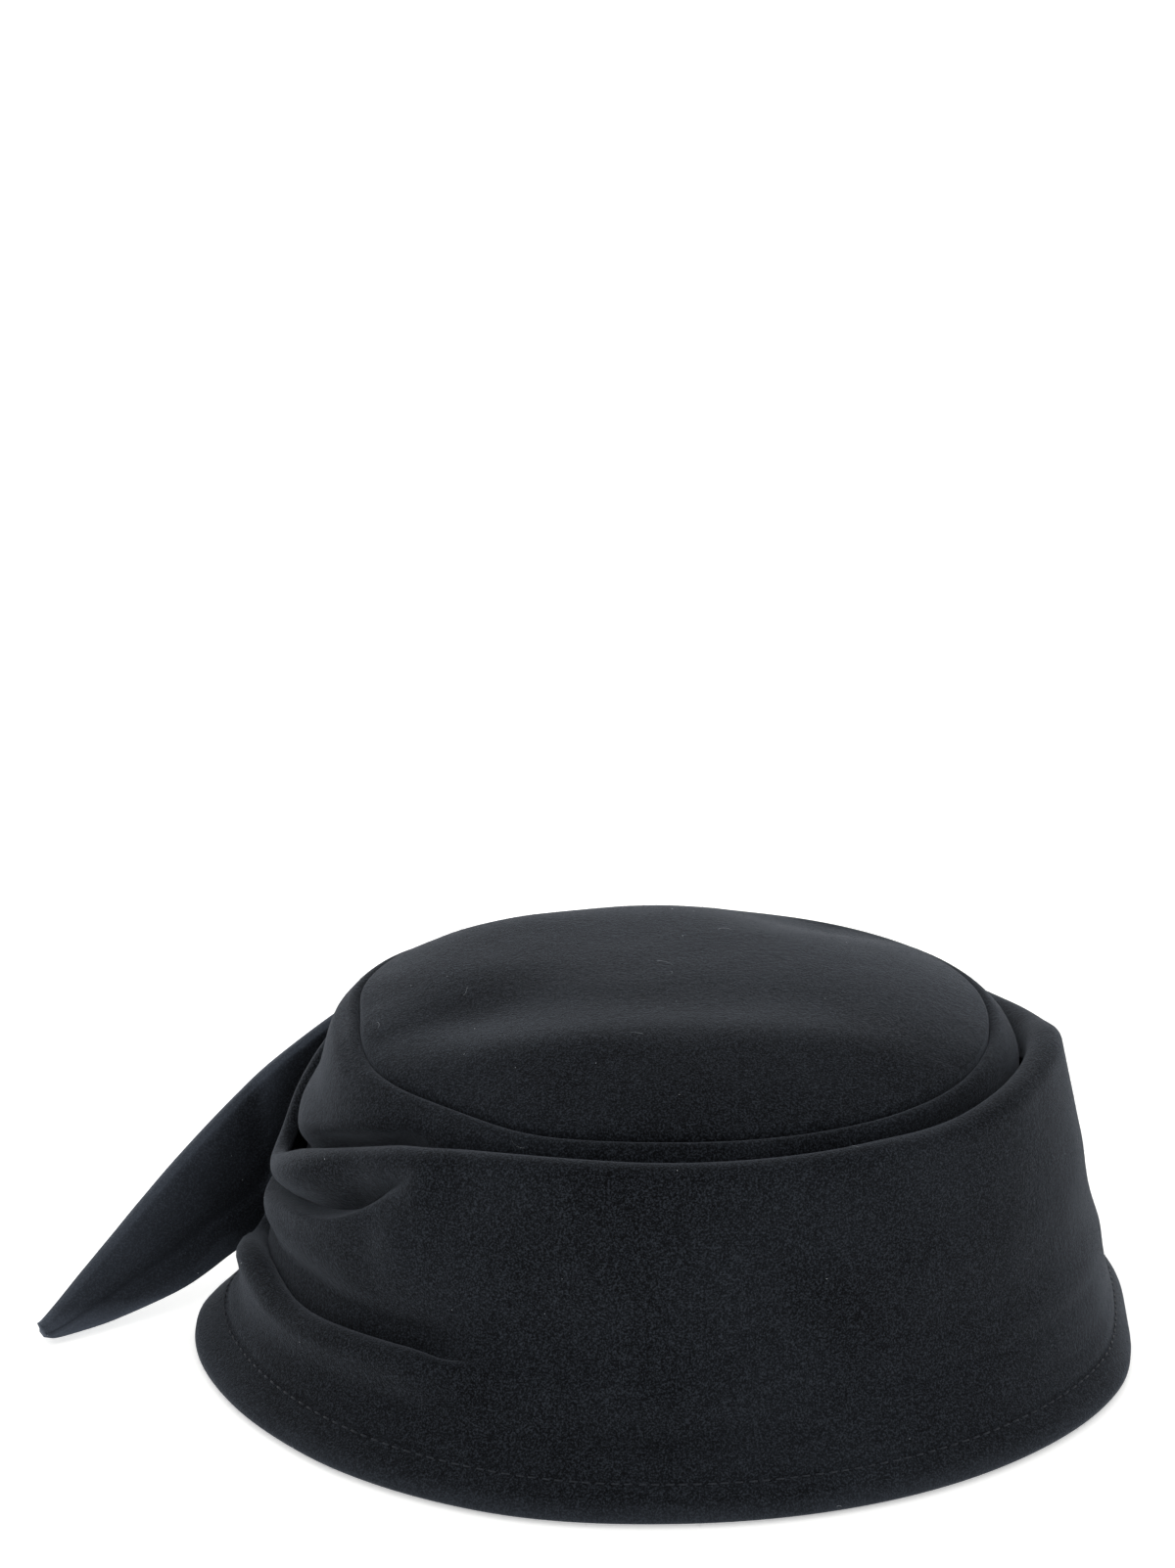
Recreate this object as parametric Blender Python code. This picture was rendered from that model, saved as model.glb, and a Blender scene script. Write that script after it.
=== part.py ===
# A soft draped cap of felted wool cloth: an oval crown tip, a conical crown side, a wide
# draped band with a flared brim, and a pointed tail. It stands on the surface z = 0 with
# its front towards +X and its tail towards -X.

import bpy
import bmesh
from math import cos, exp, hypot, radians, sin

# Lengths are in millimetres down to the meshes, which are in metres.
METRES = 0.001

# Cloth and fits
FELT = 1.8                 # thickness of the wool cloth
GAP = 0.3                  # clearance between two sewn pieces

# Head opening, measured inside the crown side
HEAD_HALF_LENGTH = 97.8
HEAD_HALF_WIDTH = 85.0

# Crown
WAIST_HEIGHT = 28.0        # lower edge of the crown side, where the band is sewn on
CROWN_RISE = 54.5          # from the waist up to the seam of the tip
CROWN_DRAW = 25.0          # how far the side is drawn in at the seam
CORNER_LIFT = 0.8          # the seam climbs at the back left corner
CORNER_PLACE = 152.0       # direction of that corner, and half its reach, in degrees
CORNER_REACH = 26.0
TIP_RISE = 10.5            # how far the tip domes over its seam
TIP_CENTRE = -2.0          # middle of the tip, along the cap
DOME_POWER = 3.2           # higher gives a flatter tip with a rounder edge
DOME_DIP = 0.14            # how far the dome's middle sinks, as a share of its rise

# Band
BAND_HEIGHT = 82.0         # top of the rolled edge
BRIM_FLARE = 19.5          # how far the hem stands out from the waist
NECK_STAND = 9.5           # how far the brim stands out at its neck
NECK_HEIGHT = 17.0
TOP_LEAN = 9.0             # how far the top leans in from the waist
ROLL_RADIUS = 3.6          # middle of the cloth in the rolled edge
FACING = 6.0               # cloth turned down inside the rolled edge
HEM_DEPTH = 11.0           # cloth turned up inside the hem
HEM_STEP = 1.3             # height over which the wall thins again over the turned cloth
HEM_BEVEL = 1.0            # rounding beside the flat foot of the hem
FACING_SLACK = 1.2         # the crown side keeps this much clear of the facing
ROOM_MARGIN = 1.0          # and stays drawn in this far over and under it
ROOM_RAMP = 10.0           # over this height it comes in to pass the facing

# Folds of the band
TUCK_HEIGHT = 25.0         # crest of the tuck's lip at the left
TUCK_OVERLAP = 8.0         # how far the lip overlaps the cloth behind it
PLAIN_REACH = 4.0          # height over which the cloth steps in where it isn't folded
PINCH_DEPTH = 3.2          # depth of the pinched valley under the rolled edge
PINCH_WIDTH = 2.7          # half width of that valley
PINCH_LIP = 8.5            # the lip that swells out lies this far under the valley
PINCH_LIP_WIDTH = 5.4      # half width of that lip
PINCH_LIP_SHARE = 0.55     # its height as a share of the valley's depth
SWELL = 2.2                # soft swells along the front of the band

# Tail
TAIL_REACH = 82.0          # from where it leaves the band to its tip
TAIL_TOP = 66.0            # top edge where it leaves the band
TAIL_HEADING = 214.5       # direction it runs in, seen from above, in degrees
TAIL_START = 154.0         # where round the band it leaves, in degrees
TAIL_ROOT = 116.0          # where round the band it is sewn on, in degrees
TAIL_FOLD = 4.0            # half thickness of the soft fold along the top edge
TAIL_EDGE = 1.5            # half thickness along the lower edge
TAIL_KICK = 5.0            # how far the hem strip kicks forward
TAIL_CLEAR = 0.8           # clearance between the tail's root and the band
TAIL_LIFT = 4.0            # foot of its root over the waist

# Crown side, a row per direction (degrees round from the front). The other columns are
# shares of CROWN_DRAW, taken at the heights in CROWN_LEVELS.
CROWN_SIDE = [
    # angle  skirt  puff  crease  shoulder  brow  seam
    (0, 0.16, 0.36, 0.56, 0.78, 0.90, 1.06),
    (45, 0.16, 0.36, 0.54, 0.70, 0.82, 0.99),
    (90, 0.16, 0.34, 0.50, 0.62, 0.73, 0.91),
    (125, 0.16, 0.34, 0.48, 0.58, 0.68, 0.86),
    (150, 0.16, 0.33, 0.40, 0.50, 0.58, 0.75),
    (165, 0.18, 0.28, 0.40, 0.50, 0.58, 0.77),
    (180, 0.20, 0.25, 0.43, 0.54, 0.64, 0.86),
    (200, 0.18, 0.28, 0.43, 0.56, 0.66, 0.85),
    (226, 0.16, 0.36, 0.49, 0.64, 0.76, 0.94),
    (245, 0.16, 0.36, 0.52, 0.62, 0.70, 0.87),
    (270, 0.16, 0.36, 0.54, 0.64, 0.75, 0.90),
    (318, 0.16, 0.36, 0.56, 0.70, 0.79, 0.94),
]
# Shares of CROWN_RISE for those columns, with the skirt's foot before them
CROWN_LEVELS = (0.0, 0.09, 0.54, 0.68, 0.87, 0.96, 1.0)

# Tip relief, a row per soft ridge or dent: place along and across the tip and reach along
# and across it, as shares of its half length and half width, and height as a share of TIP_RISE.
TIP_RELIEF = [
    # along  across  reach_along  reach_across  height
    (-0.15, 0.52, 0.75, 0.22, 0.20),
    (-0.72, 0.05, 0.22, 0.20, -0.32),
    (0.05, -0.28, 0.85, 0.16, 0.12),
    (-0.62, 0.62, 0.25, 0.22, 0.18),
    (0.15, 0.12, 0.60, 0.18, -0.10),
    (0.40, 0.78, 0.30, 0.22, -0.24),
]

# Band outline, a row per direction. Flare is a share of BRIM_FLARE, neck of NECK_STAND, body
# and high are shares of TOP_LEAN (leaning in), top of BAND_HEIGHT and roll of ROLL_RADIUS.
BAND_SHAPE = [
    # angle  flare  neck  body  high  top  roll
    (0, 0.56, 0.36, 0.20, 0.98, 0.98, 1.00),
    (14, 0.60, 0.40, 0.20, 0.86, 0.918, 1.00),
    (32, 0.70, 0.46, 0.18, 0.66, 0.860, 1.00),
    (60, 0.80, 0.54, 0.15, 0.45, 0.845, 1.00),
    (90, 0.86, 0.58, 0.12, 0.40, 0.86, 1.00),
    (125, 0.74, 0.54, 0.10, 0.40, 0.85, 0.80),
    (150, 0.58, 0.46, 0.10, 0.34, 0.80, 0.50),
    (165, 0.62, 0.46, 0.08, 0.20, 0.69, 0.35),
    (180, 0.96, 0.88, 0.00, 0.14, 0.585, 0.30),
    (200, 1.02, 1.00, -0.10, 0.16, 0.715, 0.50),
    (214, 1.00, 0.98, -0.10, 0.24, 0.815, 0.75),
    (226, 0.97, 0.95, -0.05, 0.34, 0.895, 0.90),
    (245, 0.93, 0.90, 0.05, 0.48, 0.955, 1.00),
    (270, 0.89, 0.84, 0.12, 0.56, 0.985, 1.00),
    (315, 0.72, 0.56, 0.20, 0.80, 1.00, 1.00),
]

# Tuck, a row per direction: height of the crest as a share of TUCK_HEIGHT, overlap as a share
# of TUCK_OVERLAP, how far the cloth steps out there as a share of the folded layers, and the
# waist's height as a share of WAIST_HEIGHT.
TUCK = [
    # angle  crest  overlap  step  waist
    (0, 1.00, 0.00, 0.15, 1.00),
    (120, 1.00, 0.00, 0.10, 1.00),
    (138, 1.00, 0.00, 0.55, 1.00),
    (158, 1.00, 0.70, 1.00, 1.00),
    (180, 1.00, 1.00, 1.00, 1.00),
    (200, 1.12, 1.00, 1.00, 1.00),
    (216, 1.16, 1.00, 1.00, 1.02),
    (236, 1.18, 0.70, 1.00, 1.07),
    (252, 1.24, 0.00, 0.85, 1.13),
    (268, 1.20, 0.00, 0.35, 1.10),
    (292, 1.05, 0.00, 0.05, 1.00),
]

# Pinch, a row per direction: height of the valley and its depth, as shares of BAND_HEIGHT
# and PINCH_DEPTH.
PINCH = [
    # angle  valley  depth
    (0, 0.75, 0.00),
    (150, 0.46, 0.00),
    (166, 0.47, 0.30),
    (180, 0.485, 0.50),
    (198, 0.57, 0.90),
    (214, 0.67, 0.90),
    (226, 0.80, 0.40),
    (238, 0.82, 0.00),
]

# Soft swells of the band, a row each: direction, height as a share of BAND_HEIGHT, reach
# round in degrees and up as a share of BAND_HEIGHT, and height as a share of SWELL.
SWELLS = [
    # angle  height  reach_round  reach_up  swell
    (266, 0.30, 24, 0.10, 0.70),
    (272, 0.20, 20, 0.06, -0.90),
    (300, 0.34, 22, 0.14, -0.45),
    (236, 0.52, 9, 0.22, 0.55),
    (250, 0.60, 10, 0.20, -0.40),
    (70, 0.35, 26, 0.14, 0.60),
    (110, 0.40, 20, 0.12, -0.40),
]

# Root of the tail on the band, a row per section: direction as a share of the way from
# TAIL_ROOT to TAIL_START, top as a share of TAIL_TOP and fold as a share of TAIL_FOLD.
TAIL_ROOT_SECTIONS = [
    # along  top  fold
    (0.00, 1.00, 0.38),
    (0.27, 1.01, 0.40),
    (0.54, 1.01, 0.48),
    (0.79, 1.00, 0.62),
]

# Tail, a row per section: distance from where it leaves the band as a share of TAIL_REACH,
# top and foot as shares of TAIL_TOP, fold and kick as shares of TAIL_FOLD and TAIL_KICK,
# and how far it bows forward, as a share of TAIL_REACH.
TAIL_SECTIONS = [
    # along  top  foot  fold  kick  bow
    (0.12, 0.885, 0.42, 0.80, 0.00, 0.000),
    (0.24, 0.800, 0.27, 0.95, 0.30, 0.004),
    (0.38, 0.690, 0.13, 1.00, 0.80, 0.010),
    (0.52, 0.560, 0.075, 1.00, 1.00, 0.012),
    (0.66, 0.415, 0.045, 0.95, 1.00, 0.016),
    (0.79, 0.275, 0.025, 0.85, 0.80, 0.026),
    (0.90, 0.150, 0.022, 0.70, 0.40, 0.040),
    (0.97, 0.078, 0.020, 0.50, 0.10, 0.052),
    (1.00, 0.056, 0.030, 0.30, 0.00, 0.056),
]

# Tail's wall from its foot to its top, a row per level: share of the way up, and how far it
# has thickened from TAIL_EDGE to the top fold.
TAIL_LEVELS = [
    # up  fold
    (0.00, 0.00),
    (0.10, 0.00),
    (0.24, 0.00),
    (0.45, 0.25),
    (0.68, 0.70),
    (0.86, 1.00),
    (0.96, 0.72),
    (1.00, 0.25),
]
TAIL_STRIP = 0.3           # the hem strip's share of the tail's height

# How walls run between the tables' values, as shares of their height
BRIM_CURL = 1.35           # over 1 the brim flares more towards its hem
BODY_LEVEL = 0.35          # level at which BAND_SHAPE gives the body
HIGH_LEVEL = 0.85          # level at which it gives the high wall
FOLD_ONSET = 2.2           # over 1 the tuck closes sooner along its length

# Mesh density
BAND_STATIONS = 72
BAND_CROWDING = 13.0       # degrees by which the stations crowd towards the folds
BAND_CROWDED = 198.0       # direction they crowd towards
CROWN_STATIONS = 56
TIP_RINGS = 5
ROLL_STEPS = 4
BEND_STEPS = 3
SMOOTH_ANGLE = 40          # degrees, sharper edges stay creased

# Levels of the wall sections, as shares of the crown's rise and of the wall over the waist
CROWN_SHARES = (0.0, 0.045, 0.09, 0.24, 0.40, 0.52, 0.62, 0.73, 0.85, 0.93, 1.0)
BODY_SHARES = (0.0, 0.12, 0.30, 0.48, 0.66, 0.84)

# Finishes: colour, roughness
NAVY_FELT = ((0.012, 0.014, 0.019), 0.92)
NAVY_FELT_TAIL = ((0.011, 0.012, 0.016), 0.94)


# Cubic curve through a table's rows, closed round the cap.
def around(table, column, angle):
    angle %= 360.0
    count = len(table)
    last = max(i for i in range(count) if table[i][0] <= angle)
    rows = [table[(last + k) % count] for k in (-1, 0, 1, 2)]
    spots = [rows[0][0], rows[1][0], rows[2][0], rows[3][0]]
    if spots[0] > spots[1]:
        spots[0] -= 360.0
    if spots[2] <= spots[1]:
        spots[2] += 360.0
    while spots[3] <= spots[2]:
        spots[3] += 360.0
    a, b, c, d = (row[column] for row in rows)
    span = spots[2] - spots[1]
    start = (c - a) / (spots[2] - spots[0]) * span
    end = (d - b) / (spots[3] - spots[1]) * span
    if (b - a) * (c - b) <= 0:
        start = 0.0
    if (c - b) * (d - c) <= 0:
        end = 0.0
    t = (angle - spots[1]) / span
    return (
        b * (2 * t**3 - 3 * t**2 + 1)
        + start * (t**3 - 2 * t**2 + t)
        + c * (3 * t**2 - 2 * t**3)
        + end * (t**3 - t**2)
    )


def ease(share):
    share = min(max(share, 0.0), 1.0)
    return share * share * (3 - 2 * share)


def bump(distance, reach):
    return exp(-((distance / reach) ** 2))


def turn_between(a, b):
    return (a - b + 180.0) % 360.0 - 180.0


# The oval round the outside of the crown side at the waist, and the way out of it.
def waist_oval(angle):
    t = radians(angle)
    half_length = HEAD_HALF_LENGTH + FELT
    half_width = HEAD_HALF_WIDTH + FELT
    nx = cos(t) / half_length
    ny = sin(t) / half_width
    size = hypot(nx, ny)
    return half_length * cos(t), half_width * sin(t), nx / size, ny / size


def place(angle, out, height):
    x, y, nx, ny = waist_oval(angle)
    return (x + nx * out, y + ny * out, height)


# Sideways offsets of a path of (out, height) points, for a wall of a given thickness.
def path_normals(path):
    normals = []
    for i in range(len(path)):
        before = path[max(i - 1, 0)]
        after = path[min(i + 1, len(path) - 1)]
        along = (after[0] - before[0], after[1] - before[1])
        size = hypot(*along) or 1.0
        normals.append((along[1] / size, -along[0] / size))
    return normals


# Arc of (out, height) points about a centre, from one angle to another, ends included.
def arc(centre, radius, start, end, steps):
    points = []
    for i in range(steps + 1):
        turn = radians(start + (end - start) * i / steps)
        points.append((centre[0] + radius * cos(turn), centre[1] + radius * sin(turn)))
    return points


# Crown side: how far in its outer face lies, at a share of its rise.
def crown_draw(angle, share):
    outs = [0.0] + [around(CROWN_SIDE, k, angle) for k in range(1, 7)]
    for k in range(1, len(CROWN_LEVELS)):
        if share <= CROWN_LEVELS[k]:
            break
    t = (share - CROWN_LEVELS[k - 1]) / (CROWN_LEVELS[k] - CROWN_LEVELS[k - 1])
    return CROWN_DRAW * (outs[k - 1] + (outs[k] - outs[k - 1]) * t)


# Height of the waist: the foot of the crown side, and where the band sits on it.
def waist_at(angle):
    return WAIST_HEIGHT * around(TUCK, 4, angle)


def corner_lift(angle):
    return CORNER_LIFT * bump(turn_between(angle, CORNER_PLACE), CORNER_REACH)


def crown_height(angle, share):
    foot = waist_at(angle)
    seam = WAIST_HEIGHT + CROWN_RISE
    return foot + (seam - foot) * share + corner_lift(angle) * ease(share * 2 - 1)


# Closed wall section of the crown side, outer face first, then back down the inner face.
def crown_side_section(angle):
    outer = []
    for share in CROWN_SHARES:
        height = crown_height(angle, share)
        outer.append((min(-crown_draw(angle, share), crown_room(angle, height)), height))
    inner = []
    for (out, height), (nx, nz) in zip(outer, path_normals(outer)):
        inner.append((out - nx * FELT, height - nz * FELT))
    inner[0] = (outer[0][0] - FELT, outer[0][1])
    inner[-1] = (outer[-1][0], outer[-1][1] - FELT)
    return outer + inner[::-1]


# Band: the outer face of the brim at a height under the tuck's crest.
def brim_out(angle, height, crest, lip):
    flare = BRIM_FLARE * around(BAND_SHAPE, 1, angle)
    neck = NECK_STAND * around(BAND_SHAPE, 2, angle)
    if height < NECK_HEIGHT:
        t = height / NECK_HEIGHT
        return neck + (flare - neck) * (1 - t) ** BRIM_CURL
    t = ease((height - NECK_HEIGHT) / (crest - NECK_HEIGHT))
    return neck + (lip - neck) * t


# Band: the outer face over the waist, at a share of the way to the rolled edge.
def body_out(angle, share):
    body = TOP_LEAN * around(BAND_SHAPE, 3, angle)
    high = TOP_LEAN * around(BAND_SHAPE, 4, angle)
    seat = GAP + FELT
    if share < BODY_LEVEL:
        return seat + (-body - seat) * (1 - (1 - share / BODY_LEVEL) ** 3)
    return -body + (body - high) * (share - BODY_LEVEL) / (HIGH_LEVEL - BODY_LEVEL)


def swell_at(angle, height):
    total = 0.0
    for spot, level, reach_round, reach_up, swell in SWELLS:
        round_share = bump(turn_between(angle, spot), reach_round)
        up_share = bump(height - level * BAND_HEIGHT, reach_up * BAND_HEIGHT)
        total += SWELL * swell * round_share * up_share
    return total


# The pinched valley under the rolled edge, with the cloth swelling out below it.
def pinch_at(angle, height):
    valley = BAND_HEIGHT * around(PINCH, 1, angle)
    depth = PINCH_DEPTH * around(PINCH, 2, angle)
    lip = bump(height - valley + PINCH_LIP, PINCH_LIP_WIDTH)
    return depth * (PINCH_LIP_SHARE * lip - bump(height - valley, PINCH_WIDTH))


# How far folds and swells push the band's cloth outwards.
def relief_at(angle, height):
    return swell_at(angle, height) + pinch_at(angle, height)


# Band: height of the wall from the waist to the middle of the rolled edge, the radius of
# that edge, and the length of the facing inside it.
def band_wall(angle):
    top = BAND_HEIGHT * around(BAND_SHAPE, 5, angle)
    roll = ROLL_RADIUS * around(BAND_SHAPE, 6, angle)
    facing = FACING * around(BAND_SHAPE, 6, angle)
    return top - FELT / 2 - roll - waist_at(angle), roll, facing


# Middle line of the band's cloth from the hem up, over the tuck and the rolled edge,
# with how thick the wall is inwards of it at each point.
def band_path(angle):
    half = FELT / 2
    layer = FELT + GAP
    crest = TUCK_HEIGHT * around(TUCK, 1, angle)
    overlap = TUCK_OVERLAP * around(TUCK, 2, angle)
    step = around(TUCK, 3, angle)
    seat = GAP + half
    lip = seat + 2 * layer * step

    def brim(height):
        return brim_out(angle, height, crest, lip + half) - half

    path = [(brim(0.0), HEM_BEVEL)]
    for height in (HEM_DEPTH / 2, HEM_DEPTH, HEM_DEPTH + HEM_STEP, NECK_HEIGHT):
        path.append((brim(height), height))
    deep = [True, True, True, False, False]

    # The tuck's S: up to the crest, down behind the lip, and up again behind that.
    bend = layer / 2
    valley = crest - overlap
    lower_bend = max((lip - 2 * bend - seat) / 2, bend)
    folded = arc((lip - bend, crest - bend), bend, 0, 180, BEND_STEPS)
    folded += arc((seat + lower_bend, valley + lower_bend), lower_bend, 0, -180, BEND_STEPS)
    wall, roll, facing = band_wall(angle)
    plain_low = crest - PLAIN_REACH
    waist = waist_at(angle)
    plain_high = waist - GAP
    closed = ease(around(TUCK, 2, angle) * FOLD_ONSET)
    for k, (out, height) in enumerate(folded):
        t = (k + 0.5) / len(folded)
        plain_height = plain_low + (plain_high - plain_low) * t
        plain_out = lip + (seat - lip) * ease(t)
        out = plain_out + (out - plain_out) * closed
        height = plain_height + (height - plain_height) * closed
        path.append((out, height))
        deep.append(False)

    # The wall over the waist, the rolled edge and the facing inside it.
    for share in BODY_SHARES:
        height = waist + wall * share
        path.append((body_out(angle, share) - half, height))
        deep.append(False)
    end_out = body_out(angle, 1.0) - half
    path += arc((end_out - roll, waist + wall), roll, 0, 180, ROLL_STEPS)
    path.append((end_out - 2 * roll, waist + wall - facing))
    deep += [False] * (ROLL_STEPS + 2)
    path = [(out + relief_at(angle, height), height) for out, height in path]
    return path, deep


# Closed section of the band: up the outer face, and back down the inner face to the foot.
def band_section(angle):
    path, deep = band_path(angle)
    normals = path_normals(path)
    half = FELT / 2
    outer = []
    inner = []
    for (out, height), (nx, nz), in_hem in zip(path, normals, deep):
        outer.append((out + nx * half, height + nz * half))
        back = half + (FELT if in_hem else 0.0)
        inner.append((out - nx * back, height - nz * back))
    foot_out = path[0][0] + half
    foot_in = path[0][0] - half - FELT
    outer[0] = (foot_out, HEM_BEVEL)
    inner[0] = (foot_in, HEM_BEVEL)
    foot = [(foot_in + HEM_BEVEL / 2, 0.0), (foot_out - HEM_BEVEL / 2, 0.0)]
    return outer + inner[::-1] + foot


# Outer face of the band's wall over the waist, for what lies on it.
def band_face(angle, height):
    wall, _, _ = band_wall(angle)
    share = (height - waist_at(angle)) / wall
    return body_out(angle, max(share, 0.0)) + relief_at(angle, height)


# Furthest out that the crown side may lie at a height, inside the band and its facing.
def crown_room(angle, height):
    wall, roll, facing = band_wall(angle)
    waist = waist_at(angle)
    share = (height - waist) / wall
    if height > waist + wall + roll + FELT / 2 + ROOM_MARGIN:
        return 0.0
    behind_wall = body_out(angle, min(share, 1.0)) - FELT
    behind_facing = body_out(angle, 1.0) - 2 * roll - FELT - FACING_SLACK
    facing_foot = waist + wall - facing - ROOM_MARGIN
    near_facing = ease(1 + (height - facing_foot) / ROOM_RAMP)
    room = behind_wall + (behind_facing - behind_wall) * near_facing
    return min(room + relief_at(angle, height) - GAP, 0.0)


# Joins closed sections into a body: a ring where the last meets the first, or a bar whose
# two end sections are filled.
def loft(bm, sections, closed):
    rings = [[bm.verts.new([c * METRES for c in point]) for point in section] for section in sections]
    count = len(rings)
    for i in range(count if closed else count - 1):
        here = rings[i]
        there = rings[(i + 1) % count]
        for k in range(len(here)):
            n = (k + 1) % len(here)
            bm.faces.new((here[k], here[n], there[n], there[k]))
    if not closed:
        bm.faces.new(rings[0][::-1])
        bm.faces.new(rings[-1])
    return rings


def finish(bm, name, colour, roughness):
    bmesh.ops.recalc_face_normals(bm, faces=bm.faces)
    bmesh.ops.triangulate(bm, faces=bm.faces)
    mesh = bpy.data.meshes.new(name)
    bm.to_mesh(mesh)
    bm.free()
    mesh.shade_smooth()
    mesh.set_sharp_from_angle(angle=radians(SMOOTH_ANGLE))
    material = bpy.data.materials.new(name + "_cloth")
    material.use_nodes = True
    shader = material.node_tree.nodes["Principled BSDF"]
    shader.inputs["Base Color"].default_value = (*colour, 1.0)
    shader.inputs["Roughness"].default_value = roughness
    shader.inputs["Metallic"].default_value = 0.0
    mesh.materials.append(material)
    piece = bpy.data.objects.new(name, mesh)
    bpy.context.scene.collection.objects.link(piece)
    return piece


def make_crown_side():
    bm = bmesh.new()
    sections = []
    for i in range(CROWN_STATIONS):
        angle = 360.0 * i / CROWN_STATIONS
        sections.append([place(angle, out, height) for out, height in crown_side_section(angle)])
    loft(bm, sections, closed=True)
    return finish(bm, "crown_side", *NAVY_FELT)


# Height of the tip's upper face at a share of the way out from its middle to its seam.
def tip_height(angle, share):
    x, y = share * cos(radians(angle)), share * sin(radians(angle))
    dome = (1 - share**DOME_POWER) * (1 - DOME_DIP * (1 - share * share))
    relief = 0.0
    for along, across, reach_along, reach_across, height in TIP_RELIEF:
        relief += height * bump(x - along, reach_along) * bump(y - across, reach_across)
    fade = 1 - share**6
    base = WAIST_HEIGHT + CROWN_RISE + corner_lift(angle) * share**4
    return base + TIP_RISE * (dome + relief * fade)


def make_crown_tip():
    bm = bmesh.new()
    shares = [ease(0.5 + 0.5 * (k + 1) / TIP_RINGS) * 2 - 1 for k in range(TIP_RINGS)]
    edges = {}
    for side, drop in (("upper", 0.0), ("lower", FELT)):
        centre = bm.verts.new((TIP_CENTRE * METRES, 0.0, (tip_height(0, 0) - drop) * METRES))
        rings = []
        for share in shares:
            ring = []
            for i in range(CROWN_STATIONS):
                angle = 360.0 * i / CROWN_STATIONS
                x, y, _ = place(angle, -crown_draw(angle, 1.0) - GAP, 0)
                x = TIP_CENTRE + (x - TIP_CENTRE) * share
                height = tip_height(angle, share) - drop
                ring.append(bm.verts.new((x * METRES, y * share * METRES, height * METRES)))
            rings.append(ring)
        for i in range(CROWN_STATIONS):
            n = (i + 1) % CROWN_STATIONS
            bm.faces.new((centre, rings[0][i], rings[0][n]))
            for low, high in zip(rings, rings[1:]):
                bm.faces.new((low[i], high[i], high[n], low[n]))
        edges[side] = rings[-1]
    for i in range(CROWN_STATIONS):
        n = (i + 1) % CROWN_STATIONS
        bm.faces.new((edges["upper"][i], edges["lower"][i], edges["lower"][n], edges["upper"][n]))
    return finish(bm, "crown_tip", *NAVY_FELT)


def make_drape_band():
    bm = bmesh.new()
    sections = []
    for i in range(BAND_STATIONS):
        # Stations lie closer together at the folds on the left.
        even = 360.0 * i / BAND_STATIONS
        angle = even + BAND_CROWDING * sin(radians(even - BAND_CROWDED))
        sections.append([place(angle, out, height) for out, height in band_section(angle)])
    loft(bm, sections, closed=True)
    return finish(bm, "drape_band", *NAVY_FELT)


# One section of the tail round its middle line, from (plan x, plan y, height) points.
def tail_section(middle, side, halves):
    near = []
    far = []
    for (x, y, z), half in zip(middle, halves):
        near.append((x - side[0] * half, y - side[1] * half, z))
        far.append((x + side[0] * half, y + side[1] * half, z))
    return near + far[::-1]


def make_tail():
    sections = []
    for along, top_share, fold_share in TAIL_ROOT_SECTIONS:
        angle = TAIL_ROOT + (TAIL_START - TAIL_ROOT) * along
        foot = WAIST_HEIGHT + TAIL_LIFT
        top = TAIL_TOP * top_share
        fold = TAIL_FOLD * fold_share
        x, y, nx, ny = waist_oval(angle)
        middle = []
        halves = []
        for up, fold_mix in TAIL_LEVELS:
            half = TAIL_EDGE + (fold - TAIL_EDGE) * fold_mix
            height = foot + (top - foot) * up
            out = band_face(angle, height) + TAIL_CLEAR + half
            middle.append((x + nx * out, y + ny * out, height))
            halves.append(half)
        sections.append(tail_section(middle, (nx, ny), halves))
    x, y, nx, ny = waist_oval(TAIL_START)
    start = (x + nx * (GAP + FELT), y + ny * (GAP + FELT))
    heading = (cos(radians(TAIL_HEADING)), sin(radians(TAIL_HEADING)))
    side = (heading[1], -heading[0])
    for along, top_share, foot_share, fold_share, kick_share, bow in TAIL_SECTIONS:
        top = TAIL_TOP * top_share
        foot = TAIL_TOP * foot_share
        middle = []
        halves = []
        for up, fold_mix in TAIL_LEVELS:
            forward = TAIL_KICK * kick_share * (1 - ease(up / TAIL_STRIP)) + TAIL_REACH * bow
            x = start[0] + heading[0] * TAIL_REACH * along - side[0] * forward
            y = start[1] + heading[1] * TAIL_REACH * along - side[1] * forward
            middle.append((x, y, foot + (top - foot) * up))
            halves.append(TAIL_EDGE + (TAIL_FOLD * fold_share - TAIL_EDGE) * fold_mix)
        sections.append(tail_section(middle, side, halves))
    bm = bmesh.new()
    loft(bm, sections, closed=False)
    return finish(bm, "tail", *NAVY_FELT_TAIL)


def main():
    for old in list(bpy.data.objects):
        bpy.data.objects.remove(old, do_unlink=True)
    make_crown_side()
    make_crown_tip()
    make_drape_band()
    make_tail()


main()
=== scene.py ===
# A soft draped cap of near-black navy wool melton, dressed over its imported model: the domed
# tip, the conical crown side, the gathered band with its tuck, pinch, rolled edge and
# topstitched hem, and the pointed tail.
from math import cos, exp, hypot, radians, sin, sqrt

import bpy
import numpy as np
from mathutils import Matrix, Vector, noise
from mathutils.bvhtree import BVHTree


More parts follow.
